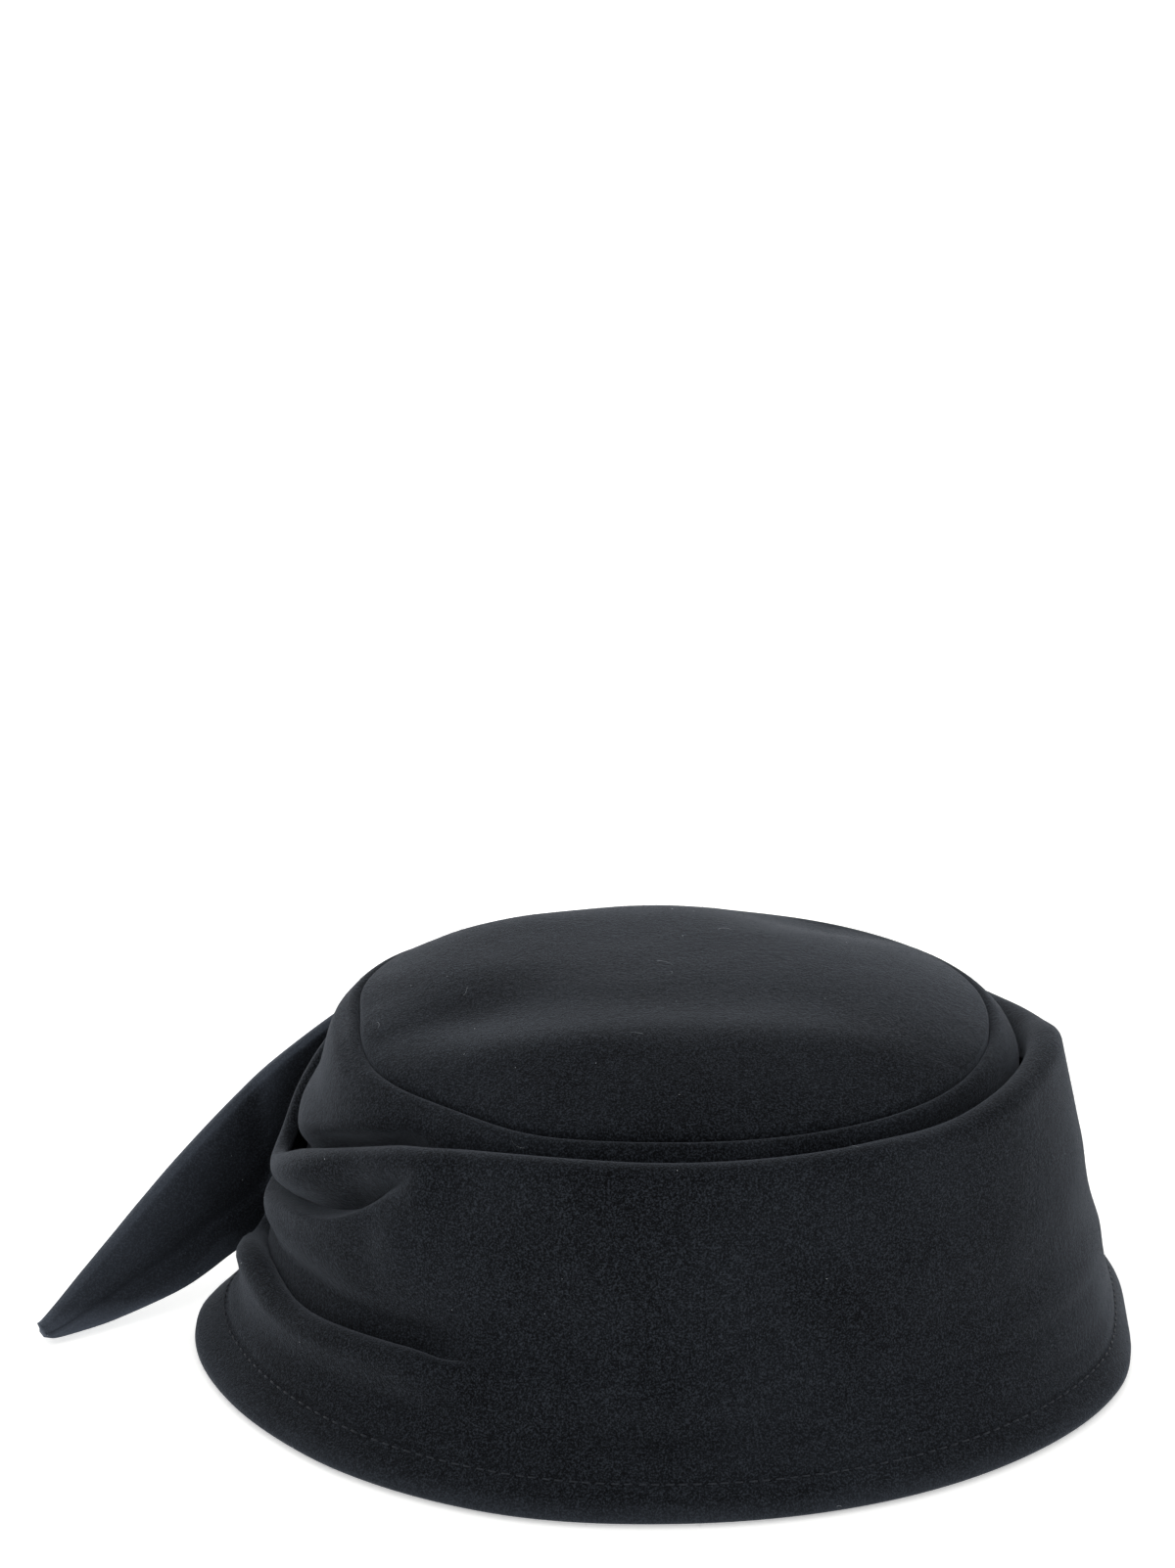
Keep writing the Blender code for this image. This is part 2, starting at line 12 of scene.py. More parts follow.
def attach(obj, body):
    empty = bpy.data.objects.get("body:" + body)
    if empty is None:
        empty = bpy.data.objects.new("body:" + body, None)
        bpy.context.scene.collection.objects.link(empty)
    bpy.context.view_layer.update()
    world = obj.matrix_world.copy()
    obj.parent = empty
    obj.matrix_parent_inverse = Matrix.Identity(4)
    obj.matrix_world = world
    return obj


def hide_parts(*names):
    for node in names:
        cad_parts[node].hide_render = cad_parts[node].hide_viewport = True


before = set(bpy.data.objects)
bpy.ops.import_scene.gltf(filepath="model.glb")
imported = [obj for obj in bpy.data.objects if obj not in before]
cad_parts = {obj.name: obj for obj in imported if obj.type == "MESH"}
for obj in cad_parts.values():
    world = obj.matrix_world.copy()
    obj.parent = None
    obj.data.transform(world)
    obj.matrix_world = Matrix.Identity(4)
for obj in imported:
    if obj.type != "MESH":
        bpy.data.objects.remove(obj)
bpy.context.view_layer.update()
mm = 0.001

# What all the cloth shares. Lengths are in millimetres and angles in degrees.
cloth = {
    "thickness": 1.7,
    "half": 0.9,          # from the middle of the cloth to its drawn face
    "gap": 0.3,
    "headHalfLength": 97.8,
    "headHalfWidth": 85.0,
    "waist": 28.0,        # where the band is sewn to the crown side
    "unevenness": 0.30,   # slow hand-made waviness of every panel
    "wavelength": 26.0,
    "fineShare": 0.4, "fineScale": 2.7,   # the finer waves among them
    "seed": 7,
    "weld": 0.002,        # points nearer than this become one
}


def ease(share):
    share = min(max(share, 0.0), 1.0)
    return share * share * (3 - 2 * share)


def bump(distance, reach):
    return exp(-((distance / reach) ** 2))


def turnBetween(a, b):
    return (a - b + 180.0) % 360.0 - 180.0


# Cubic curve through a table's rows, closed round the cap
def around(table, column, angle):
    angle %= 360.0
    count = len(table)
    last = max(i for i in range(count) if table[i][0] <= angle)
    rows = [table[(last + k) % count] for k in (-1, 0, 1, 2)]
    spots = [row[0] for row in rows]
    if spots[0] > spots[1]:
        spots[0] -= 360.0
    if spots[2] <= spots[1]:
        spots[2] += 360.0
    while spots[3] <= spots[2]:
        spots[3] += 360.0
    a, b, c, d = (row[column] for row in rows)
    span = spots[2] - spots[1]
    start = (c - a) / (spots[2] - spots[0]) * span
    end = (d - b) / (spots[3] - spots[1]) * span
    if (b - a) * (c - b) <= 0:
        start = 0.0
    if (c - b) * (d - c) <= 0:
        end = 0.0
    t = (angle - spots[1]) / span
    return (b * (2 * t**3 - 3 * t**2 + 1) + start * (t**3 - 2 * t**2 + t)
            + c * (3 * t**2 - 2 * t**3) + end * (t**3 - t**2))


# Smooth curve through points in order, with some steps in each span
def throughPoints(points, steps):
    padded = [points[0]] + list(points) + [points[-1]]
    curve = []
    for i in range(1, len(padded) - 2):
        a, b, c, d = (np.array(padded[i + k]) for k in (-1, 0, 1, 2))
        for k in range(steps):
            t = k / steps
            curve.append(0.5 * (2 * b + (c - a) * t + (2 * a - 5 * b + 4 * c - d) * t**2
                                + (3 * b - a - 3 * c + d) * t**3))
    curve.append(np.array(points[-1]))
    return [tuple(point) for point in curve]


# The oval round the outside of the crown side at the waist, and the way out of it
def waistOval(angle):
    halfLength = cloth["headHalfLength"] + 2 * cloth["half"]
    halfWidth = cloth["headHalfWidth"] + 2 * cloth["half"]
    t = radians(angle)
    nx, ny = cos(t) / halfLength, sin(t) / halfWidth
    size = hypot(nx, ny)
    return halfLength * cos(t), halfWidth * sin(t), nx / size, ny / size


def place(angle, out, height):
    x, y, nx, ny = waistOval(angle)
    return (x + nx * out, y + ny * out, height)


def arc(centre, radius, start, end, steps):
    turns = [radians(start + (end - start) * i / steps) for i in range(steps + 1)]
    return [(centre[0] + radius * cos(t), centre[1] + radius * sin(t)) for t in turns]


# Moves a path of (out, height) points sideways
def offsetPath(path, distance):
    moved = []
    for i, (out, height) in enumerate(path):
        before, after = path[max(i - 1, 0)], path[min(i + 1, len(path) - 1)]
        du, dz = after[0] - before[0], after[1] - before[1]
        size = hypot(du, dz) or 1.0
        moved.append((out + dz / size * distance, height - du / size * distance))
    return moved


def deselectAll():
    bpy.ops.object.select_all(action="DESELECT")


def editAll():
    bpy.ops.object.mode_set(mode="EDIT")
    bpy.ops.mesh.select_all(action="SELECT")


def shadeSmooth(piece):
    deselectAll()
    piece.select_set(True)
    bpy.ops.object.shade_smooth()


# A grid primitive, its points moved to their places row by row and welded where they meet
def layGrid(name, points):
    deselectAll()
    columns, rows = len(points[0]) - 1, len(points) - 1
    bpy.ops.mesh.primitive_grid_add(x_subdivisions=columns, y_subdivisions=rows, size=1.0)
    piece = bpy.context.object
    piece.name = piece.data.name = name
    piece.data.vertices.foreach_set("co", (np.array(points) * mm).ravel())
    piece.data.update()
    editAll()
    bpy.ops.mesh.remove_doubles(threshold=cloth["weld"] * mm)
    bpy.ops.object.mode_set(mode="OBJECT")
    return piece


# A sheet of cloth: its columns go round the cap and its rows along the section. The points
# are evened a little, closed at the seam and thickened.
def sewSheet(name, sections, relax):
    points = np.array(sections).transpose(1, 0, 2)
    for _ in range(relax):
        ring = points[:, :-1]
        ring = 0.5 * ring + 0.25 * (np.roll(ring, 1, axis=1) + np.roll(ring, -1, axis=1))
        points = np.concatenate([ring, ring[:, :1]], axis=1)
        inner = 0.5 * points[1:-1] + 0.25 * (points[:-2] + points[2:])
        points = np.concatenate([points[:1], inner, points[-1:]])
    piece = layGrid(name, points)
    wall = piece.modifiers.new("wall", "SOLIDIFY")
    wall.thickness = cloth["thickness"] * mm
    wall.offset = 0.0
    bpy.context.view_layer.objects.active = piece
    bpy.ops.object.modifier_apply(modifier="wall")
    shadeSmooth(piece)
    return piece


# Slow unevenness, the same at each place of every run
def uneven(x, y, z):
    spot = Vector((x, y, z)) / cloth["wavelength"] + Vector((cloth["seed"], 0, 0))
    fine = noise.noise(spot * cloth["fineScale"])
    return cloth["unevenness"] * (noise.noise(spot) + cloth["fineShare"] * fine)


# The crown side. Its table's columns are shares of the draw, taken at the levels.
crownSide = {
    "rise": 54.5,
    "draw": 25.0,
    "levels": (0.0, 0.09, 0.54, 0.68, 0.87, 0.96, 1.0),
    "table": [
        # angle  skirt  puff  crease  shoulder  brow  seam
        (0, 0.16, 0.36, 0.56, 0.78, 0.90, 1.06),
        (45, 0.16, 0.36, 0.54, 0.70, 0.82, 0.99),
        (90, 0.16, 0.34, 0.50, 0.62, 0.73, 0.91),
        (125, 0.16, 0.34, 0.48, 0.58, 0.68, 0.86),
        (150, 0.16, 0.33, 0.40, 0.50, 0.58, 0.75),
        (165, 0.18, 0.28, 0.40, 0.50, 0.58, 0.77),
        (180, 0.20, 0.25, 0.43, 0.54, 0.64, 0.86),
        (200, 0.18, 0.28, 0.43, 0.56, 0.66, 0.85),
        (226, 0.16, 0.36, 0.49, 0.64, 0.76, 0.94),
        (245, 0.16, 0.36, 0.52, 0.62, 0.70, 0.87),
        (270, 0.16, 0.36, 0.54, 0.64, 0.75, 0.90),
        (318, 0.16, 0.36, 0.56, 0.70, 0.79, 0.94),
    ],
    "cornerLift": 0.8, "cornerPlace": 152.0, "cornerReach": 26.0,
    "roll": 1.1,          # radius of the cloth where it rolls into the seam
    "rollDrop": 3.4,      # middle of that roll, under the seam
    "allowance": 3.0,     # cloth turned down inside the seam
    "pressed": 0.06,      # how far each layer presses into the other along the seam
    "easing": 0.8,        # roundness where the side comes to lie against the band
    "shares": (0.0, 0.045, 0.09, 0.24, 0.40, 0.54, 0.62, 0.68, 0.78, 0.87, 0.92),
    "steps": 5,           # rows between each two of those shares of its rise
    "browTurn": 58, "browSteps": 9,       # degrees, where the roll into the seam begins
    "wakes": 20.0,        # the unevenness grows over this height
    "seamDrops": [
        # angle  drop
        (0, 0.0), (150, 0.2), (184, 0.9), (200, 2.7), (242, 2.9),
        (262, 2.0), (300, 1.7), (320, 1.2), (342, 0.0),
    ],
    "columns": 360, "relax": 3,
}

# The tip
tip = {
    "rise": 10.5, "centre": -2.0, "power": 3.8, "dip": -0.12,
    "relief": [
        # along  across  reachAlong  reachAcross  height
        (-0.05, 0.02, 0.75, 0.30, 0.03),
        (-0.66, -0.22, 0.26, 0.20, -0.30),
        (-0.50, -0.58, 0.34, 0.12, 0.10),
        (0.15, -0.54, 0.75, 0.14, 0.10),
        (0.10, -0.26, 0.60, 0.14, -0.05),
        (-0.62, 0.62, 0.30, 0.24, 0.22),
        (-0.10, 0.62, 0.40, 0.24, 0.06),
        (0.46, 0.78, 0.28, 0.24, -0.44),
    ],
    "roll": 1.1, "rollDrop": 1.25, "allowance": 3.0,
    "edgeTurn": 62, "edgeSteps": 7,       # degrees that its edge rolls over
    "pucker": 0.22, "puckerReach": 9.0,   # small gathers beside the seam
    "puckerSpan": 70.0, "puckerSize": 7, "fineSize": 3, "fineShare": 0.6,
    "wavesAt": 90,        # the height at which its unevenness is read
    "columns": 300, "rings": 46, "crowding": 1.25, "relax": 1,
}

# The band
band = {
    "height": 82.0, "flare": 20.2, "neck": 9.5, "neckHeight": 17.0, "lean": 9.0,
    "roll": 3.6, "facing": 6.0, "hem": 9.5, "hemRoll": 1.35,
    "tuckHeight": 25.0, "tuckOverlap": 8.0, "plainReach": 4.0, "foldOnset": 1.5,
    "lipFullness": 3.9, "lipRadius": 2.3, "lipRise": 1.0,
    "tuckDip": 2.2, "tuckDipPlace": 2.0, "tuckDipReach": 4.8,
    "softening": 26, "softened": 0.9,     # rounds of evening, and how far each one goes
    "brimCurl": 1.35, "bodyLevel": 0.35, "highLevel": 0.85,
    "outline": [
        # angle  flare  neck  body  high  top  roll
        (0, 0.46, 0.34, 0.20, 0.74, 0.957, 1.00),
        (14, 0.56, 0.40, 0.20, 0.72, 0.902, 1.00),
        (32, 0.70, 0.46, 0.18, 0.66, 0.860, 1.00),
        (60, 0.80, 0.54, 0.15, 0.45, 0.845, 1.00),
        (90, 0.86, 0.58, 0.12, 0.40, 0.86, 1.00),
        (125, 0.74, 0.54, 0.10, 0.40, 0.85, 0.80),
        (150, 0.58, 0.46, 0.10, 0.34, 0.80, 0.50),
        (165, 0.62, 0.46, 0.08, 0.20, 0.69, 0.35),
        (180, 0.96, 0.88, 0.00, 0.14, 0.585, 0.30),
        (200, 1.04, 1.00, -0.10, 0.10, 0.730, 0.85),
        (214, 1.04, 0.98, -0.10, 0.20, 0.825, 0.95),
        (226, 1.07, 0.97, -0.05, 0.34, 0.897, 0.95),
        (245, 1.08, 0.93, 0.05, 0.48, 0.945, 1.00),
        (270, 0.93, 0.84, 0.12, 0.56, 0.957, 1.00),
        (298, 0.80, 0.68, 0.17, 0.70, 0.958, 1.00),
        (315, 0.74, 0.58, 0.20, 0.80, 0.945, 1.00),
        (338, 0.68, 0.46, 0.21, 0.84, 0.958, 1.00),
    ],
    "tuck": [
        # angle  crest  overlap  step  waist
        (0, 1.00, 0.00, 0.15, 1.00),
        (120, 1.00, 0.00, 0.10, 1.00),
        (138, 1.00, 0.00, 0.55, 1.00),
        (158, 0.90, 0.40, 0.80, 1.00),
        (172, 0.80, 0.45, 0.70, 1.00),
        (182, 0.98, 0.66, 0.78, 1.00),
        (191, 1.14, 1.00, 1.00, 1.02),
        (200, 1.05, 1.00, 1.00, 1.02),
        (208, 1.01, 1.00, 1.00, 1.02),
        (218, 1.07, 1.00, 1.00, 1.02),
        (232, 1.16, 0.64, 1.00, 1.06),
        (245, 1.24, 0.10, 0.86, 1.11),
        (258, 1.24, 0.00, 0.55, 1.12),
        (278, 1.14, 0.00, 0.20, 1.05),
        (296, 1.03, 0.00, 0.05, 1.00),
    ],
    "pinchDepth": 9.5, "pinchEdge": 1.0, "pinchLip": 0.12, "pinchDown": 9.5,
    "pinchUp": 3.4, "pocket": 215, "pocketReach": 12, "pocketUp": 3.4, "pocketFlat": 0.6,
    "pinchSink": 4.8, "pinchSinkReach": 3.6, "pinchSinkUp": 0.8,
    "pinchRoll": 5.4, "pinchRollUp": 5.0, "pinchRollReach": 4.6,
    "pinchClear": 15.0,   # how far from the pinch the crown side keeps clear of it
    "release": 9.0,       # over this height the crown side is free again above the band
    "releaseEarly": 0.5, "facingClear": 1.2, "facingBelow": 1.0, "facingEasing": 10.0,
    "pinch": [
        # angle  valley  depth
        (0, 0.75, 0.00),
        (158, 0.47, 0.00),
        (172, 0.47, 0.18),
        (182, 0.488, 0.40),
        (190, 0.530, 0.62),
        (196, 0.568, 0.80),
        (202, 0.597, 0.92),
        (208, 0.626, 1.00),
        (213, 0.662, 0.98),
        (219, 0.720, 0.66),
        (225, 0.790, 0.22),
        (231, 0.85, 0.00),
    ],
    "swell": 2.2,
    "swells": [
        # angle  height  reachRound  reachUp  swell
        (266, 0.30, 24, 0.10, 0.70),
        (272, 0.20, 20, 0.06, -0.90),
        (300, 0.34, 22, 0.14, -0.45),
        (236, 0.52, 9, 0.22, 0.45),
        (230, 0.79, 3.4, 0.10, 0.80),
        (226, 0.64, 3.6, 0.09, 0.80),
        (186, 0.43, 15, 0.08, 1.20),
        (250, 0.60, 10, 0.20, -0.40),
        (70, 0.35, 26, 0.14, 0.60),
        (110, 0.40, 20, 0.12, -0.40),
    ],
    "stitchHeight": 8.2, "stitchDip": 0.75, "stitchReach": 1.0,
    "leftCurl": 0.9, "leftCurlPlace": 197, "leftCurlReach": 26,
    "wakes": 12.0,        # the unevenness grows over this height
    "columns": 384, "crowding": 15.0, "crowded": 205.0, "relax": 1,
    # rows along the section, from the hem to the facing
    "hemRows": 9, "hemTurns": 7, "brimRows": 21, "neckRows": 8, "tuckTurns": 8,
    "wallRows": 44, "edgeTurns": 12, "facingRows": 4,
    "evenBefore": 12, "evenAfter": 24,    # rows of brim and wall evened with an unfolded tuck
}


def crownDraw(angle, share):
    levels = crownSide["levels"]
    outs = [0.0] + [around(crownSide["table"], k, angle) for k in range(1, 7)]
    for k in range(1, len(levels)):
        if share <= levels[k]:
            break
    t = (share - levels[k - 1]) / (levels[k] - levels[k - 1])
    return crownSide["draw"] * (outs[k - 1] + (outs[k] - outs[k - 1]) * t)


def waistAt(angle):
    return cloth["waist"] * around(band["tuck"], 4, angle)


def cornerLift(angle):
    turn = turnBetween(angle, crownSide["cornerPlace"])
    return crownSide["cornerLift"] * bump(turn, crownSide["cornerReach"])


def seamHeight(angle):
    drop = around(crownSide["seamDrops"], 1, angle)
    return cloth["waist"] + crownSide["rise"] + cornerLift(angle) - drop


def brimOut(angle, height, crest, lip):
    flare = band["flare"] * around(band["outline"], 1, angle)
    neck = band["neck"] * around(band["outline"], 2, angle)
    if height < band["neckHeight"]:
        t = height / band["neckHeight"]
        left = bump(turnBetween(angle, band["leftCurlPlace"]), band["leftCurlReach"])
        return neck + (flare - neck) * (1 - t) ** (band["brimCurl"] + band["leftCurl"] * left)
    t = ease((height - band["neckHeight"]) / (crest - band["neckHeight"]))
    return neck + (lip - neck) * t


# The hem's fold is round, so the brim's curve is read from the middle of that fold up
def fromHem(height):
    foot, neck = cloth["half"] + band["hemRoll"], band["neckHeight"]
    return height if height > neck else (height - foot) * neck / (neck - foot)


# How far the tuck is folded over, from 0 to 1
def tuckClosed(angle):
    return ease(around(band["tuck"], 2, angle) * band["foldOnset"])


def bodyOut(angle, share):
    body = band["lean"] * around(band["outline"], 3, angle)
    high = band["lean"] * around(band["outline"], 4, angle)
    seat = cloth["gap"] + 2 * cloth["half"]
    level = band["bodyLevel"]
    above = share * bandWall(angle)[0] - band["tuckDipPlace"]
    dip = band["tuckDip"] * tuckClosed(angle) * bump(above, band["tuckDipReach"])
    if share < level:
        return seat - dip + (-body - seat) * (1 - (1 - share / level) ** 3)
    return -body - dip + (body - high) * (share - level) / (band["highLevel"] - level)


def swellAt(angle, height):
    total = 0.0
    for spot, level, reachRound, reachUp, swell in band["swells"]:
        aside = bump(turnBetween(angle, spot), reachRound)
        upward = bump(height - level * band["height"], reachUp * band["height"])
        total += band["swell"] * swell * aside * upward
    return total


# The pinched fold: above its line the cloth rolls in, and below it a crisp lip stands out
def pinchAt(angle, height):
    valley = band["height"] * around(band["pinch"], 1, angle)
    depth = band["pinchDepth"] * around(band["pinch"], 2, angle)
    above = height - valley
    if above > 0:
        opened = bump(turnBetween(angle, band["pocket"]), band["pocketReach"])
        flattened = 1 - band["pocketFlat"] * opened
        fullness = band["pinchRoll"] * around(band["pinch"], 2, angle) * flattened
        rolled = fullness * bump(above - band["pinchRollUp"], band["pinchRollReach"])
        return rolled - depth * bump(above, band["pinchUp"] + band["pocketUp"] * opened)
    lip = band["pinchLip"]
    return depth * (lip * bump(above, band["pinchDown"]) - (1 + lip) * bump(above, band["pinchEdge"]))


def reliefAt(angle, height):
    return swellAt(angle, height) + pinchAt(angle, height)


def bandWall(angle):
    top = band["height"] * around(band["outline"], 5, angle)
    roll = band["roll"] * around(band["outline"], 6, angle)
    facing = band["facing"] * around(band["outline"], 6, angle)
    return top - cloth["half"] - roll - waistAt(angle), roll, facing


# Furthest out that the crown side may lie at a height, inside the band and its facing
def crownRoom(angle, height):
    wall, roll, facing = bandWall(angle)
    waist = waistAt(angle)
    share = (height - waist) / wall
    above = height - (waist + wall + roll + cloth["half"])
    behindWall = bodyOut(angle, min(share, 1.0)) - 2 * cloth["half"]
    behindFacing = bodyOut(angle, 1.0) - 2 * roll - 2 * cloth["half"] - band["facingClear"]
    facingFoot = waist + wall - facing - band["facingBelow"]
    nearFacing = ease(1 + (height - facingFoot) / band["facingEasing"])
    room = behindWall + (behindFacing - behindWall) * nearFacing
    valley = band["height"] * around(band["pinch"], 1, angle)
    near = bump(height - valley, band["pinchClear"])
    pinched = band["pinchDepth"] * around(band["pinch"], 2, angle) * near
    release = band["release"] * ease((above + band["releaseEarly"]) / band["release"])
    return room + min(swellAt(angle, height), 0.0) - pinched - cloth["gap"] + release


# Middle line of the crown side's cloth: up the wall, over its rolled brow, down in the seam
def crownSidePath(angle):
    foot = waistAt(angle)
    top = seamHeight(angle)
    seamOut = -crownDraw(angle, 1.0)
    controls = []
    for share in crownSide["shares"]:
        controls.append((-crownDraw(angle, share), foot + (top - foot) * share))
    roll = crownSide["roll"]
    half = cloth["half"]
    outer = []
    for out, height in throughPoints(controls, crownSide["steps"]):
        room = crownRoom(angle, height)
        outer.append(((out + room - sqrt((out - room) ** 2 + crownSide["easing"])) / 2, height))
    path = offsetPath(outer, -half)
    inside = seamOut - crownSide["pressed"] + half
    centre = (inside + roll, top - crownSide["rollDrop"])
    shoulder = arc(centre, roll, crownSide["browTurn"], 180, crownSide["browSteps"])
    path = path[:-1] + throughPoints([path[-1], shoulder[0]], crownSide["steps"])[:-1] + shoulder
    path += [(inside, centre[1] - crownSide["allowance"] * k / 3) for k in (1, 2, 3)]
    return path


def makeCrownSide():
    columns = crownSide["columns"]
    sections = []
    for i in range(columns + 1):
        angle = 360.0 * (i % columns) / columns
        section = []
        for out, height in crownSidePath(angle):
            x, y, z = place(angle, out, height)
            wave = uneven(x, y, z) * ease((height - cloth["waist"]) / crownSide["wakes"])
            section.append(place(angle, out + wave, height))
        sections.append(section)
    return sewSheet("crownSide", sections, crownSide["relax"])


def tipHeight(angle, share):
    x, y = share * cos(radians(angle)), share * sin(radians(angle))
    dome = (1 - share ** tip["power"]) * (1 - tip["dip"] * (1 - share * share))
    relief = sum(height * bump(x - along, reachAlong) * bump(y - across, reachAcross)
                 for along, across, reachAlong, reachAcross, height in tip["relief"])
    seam = (seamHeight(angle) - cloth["waist"] - crownSide["rise"]) * share**4
    return cloth["waist"] + crownSide["rise"] + seam + tip["rise"] * (dome + relief * (1 - share**6))


# One section of the tip, from the allowance inside the seam up over the edge to the middle
def tipSection(angle):
    half = cloth["half"]
    roll = tip["roll"]
    draw = crownDraw(angle, 1.0)
    inside = -draw + crownSide["pressed"] - half
    centre = (inside - roll, seamHeight(angle) - tip["rollDrop"])
    edge = [(inside, centre[1] - tip["allowance"] * k / 3) for k in (3, 2, 1)]
    edge += arc(centre, roll, 0, tip["edgeTurn"], tip["edgeSteps"])
    section = [place(angle, out, height) for out, height in edge]
    ex, ey, _ = place(angle, -draw - cloth["gap"], 0)
    outermost = 1 - (roll + half) / hypot(ex, ey)
    size, fine = tip["puckerSize"], tip["fineSize"]
    ripple = noise.noise(Vector((ex / size, ey / size, 3.0)))
    ripple += tip["fineShare"] * noise.noise(Vector((ex / fine, ey / fine, 9.0)))
    for k in range(1, tip["rings"] + 1):
        share = outermost * (1 - (k / tip["rings"]) ** tip["crowding"])
        x = tip["centre"] + (ex - tip["centre"]) * share
        y = ey * share
        near = bump((1 - share) * tip["puckerSpan"], tip["puckerReach"])
        height = tipHeight(angle, share) - half + tip["pucker"] * ripple * near
        section.append((x, y, height + uneven(x, y, tip["wavesAt"]) * (1 - share**4)))
    return section


def makeCrownTip():
    columns = tip["columns"]
    sections = [tipSection(360.0 * (i % columns) / columns) for i in range(columns + 1)]
    return sewSheet("crownTip", sections, tip["relax"])


# Evens a path between two of its points, where the cloth isn't folded
def soften(path, first, last, share):
    points = np.array(path)
    for _ in range(band["softening"]):
        middle = (points[first:last - 1] + points[first + 2:last + 1]) / 2
        points[first + 1:last] += band["softened"] * share * (middle - points[first + 1:last])
    return [tuple(point) for point in points]


# Middle line of the band's cloth: the turned hem, the brim, the tuck, the wall, the rolled
# edge and the facing inside it
def bandPath(angle):
    half = cloth["half"]
    layer = 2 * half + cloth["gap"]
    crest = band["tuckHeight"] * around(band["tuck"], 1, angle)
    overlap = band["tuckOverlap"] * around(band["tuck"], 2, angle)
    step = around(band["tuck"], 3, angle)
    seat = cloth["gap"] + half
    closed = tuckClosed(angle)
    lip = seat + 2 * layer * step + band["lipFullness"] * closed

    def brim(height):
        dip = band["stitchDip"] * bump(height - band["stitchHeight"], band["stitchReach"])
        return brimOut(angle, fromHem(height), crest, lip + half) - half - dip

    fold = band["hemRoll"]
    foot, neck = half + fold, band["neckHeight"]
    path = [(brim(h) - 2 * fold, h) for h in np.linspace(band["hem"], foot, band["hemRows"])]
    path += arc((brim(foot) - fold, foot), fold, 180, 360, band["hemTurns"])[1:]
    path += [(brim(h), h) for h in np.linspace(foot, neck, band["brimRows"])[1:]]
    bend = layer / 2 + band["lipRadius"] * closed
    upTo = max(crest - bend, neck + band["lipRise"])
    path += [(brim(h), h) for h in np.linspace(neck, upTo, band["neckRows"])[1:-1]]

    # The tuck's S, blended into a plain step in where the cloth isn't folded
    valley = crest - overlap
    lower = max((lip - 2 * bend - seat) / 2, layer / 2)
    folded = arc((lip - bend, crest - bend), bend, 0, 180, band["tuckTurns"])
    folded += [(folded[-1][0], crest - bend - overlap * k / 5) for k in (1, 2, 3)]
    folded += arc((seat + lower, valley + lower), lower, 0, -180, band["tuckTurns"])
    wall, roll, facing = bandWall(angle)
    waist = waistAt(angle)
    plainLow, plainHigh = crest - band["plainReach"], waist - cloth["gap"]
    first = len(path) - band["evenBefore"]
    for k, (out, height) in enumerate(folded):
        t = (k + 0.5) / len(folded)
        plainHeight = plainLow + (plainHigh - plainLow) * t
        plainOut = lip + (seat - lip) * ease(t)
        path.append((plainOut + (out - plainOut) * closed,
                     plainHeight + (height - plainHeight) * closed))
    for k in range(band["wallRows"]):
        share = k / band["wallRows"]
        path.append((bodyOut(angle, share) - half, waist + wall * share))
    path = soften(path, first, len(path) - band["evenAfter"], 1 - closed)
    endOut = bodyOut(angle, 1.0) - half
    path += arc((endOut - roll, waist + wall), roll, 0, 180, band["edgeTurns"])
    rows = band["facingRows"]
    path += [(endOut - 2 * roll, waist + wall - facing * k / rows) for k in range(1, rows + 1)]
    return path


# Inside the pinch the cloth also runs down behind the lip, so the fold is a real pocket
def bandPoint(angle, out, height):
    x, y, z = place(angle, out, height)
    wave = uneven(x, y, z) * ease(height / band["wakes"])
    above = height - band["height"] * around(band["pinch"], 1, angle)
    near = bump(above - band["pinchSinkUp"], band["pinchSinkReach"])
    sink = band["pinchSink"] * around(band["pinch"], 2, angle) * near
    return place(angle, out + reliefAt(angle, height) + wave, height - sink)


def bandAngle(share):
    even = 360.0 * share
    return even + band["crowding"] * sin(radians(even - band["crowded"]))


def makeBand():
    columns = band["columns"]
    sections = []
    for i in range(columns + 1):
        angle = bandAngle((i % columns) / columns)
        sections.append([bandPoint(angle, out, height) for out, height in bandPath(angle)])
    piece = sewSheet("drapeBand", sections, band["relax"])
    for vertex in piece.data.vertices:  # the hem settles flat on the surface
        vertex.co.z = max(vertex.co.z, 0.0)
    return piece


print("crown side")
crownSidePiece = makeCrownSide()
print("crown tip")
crownTipPiece = makeCrownTip()
print("drape band")
bandPiece = makeBand()

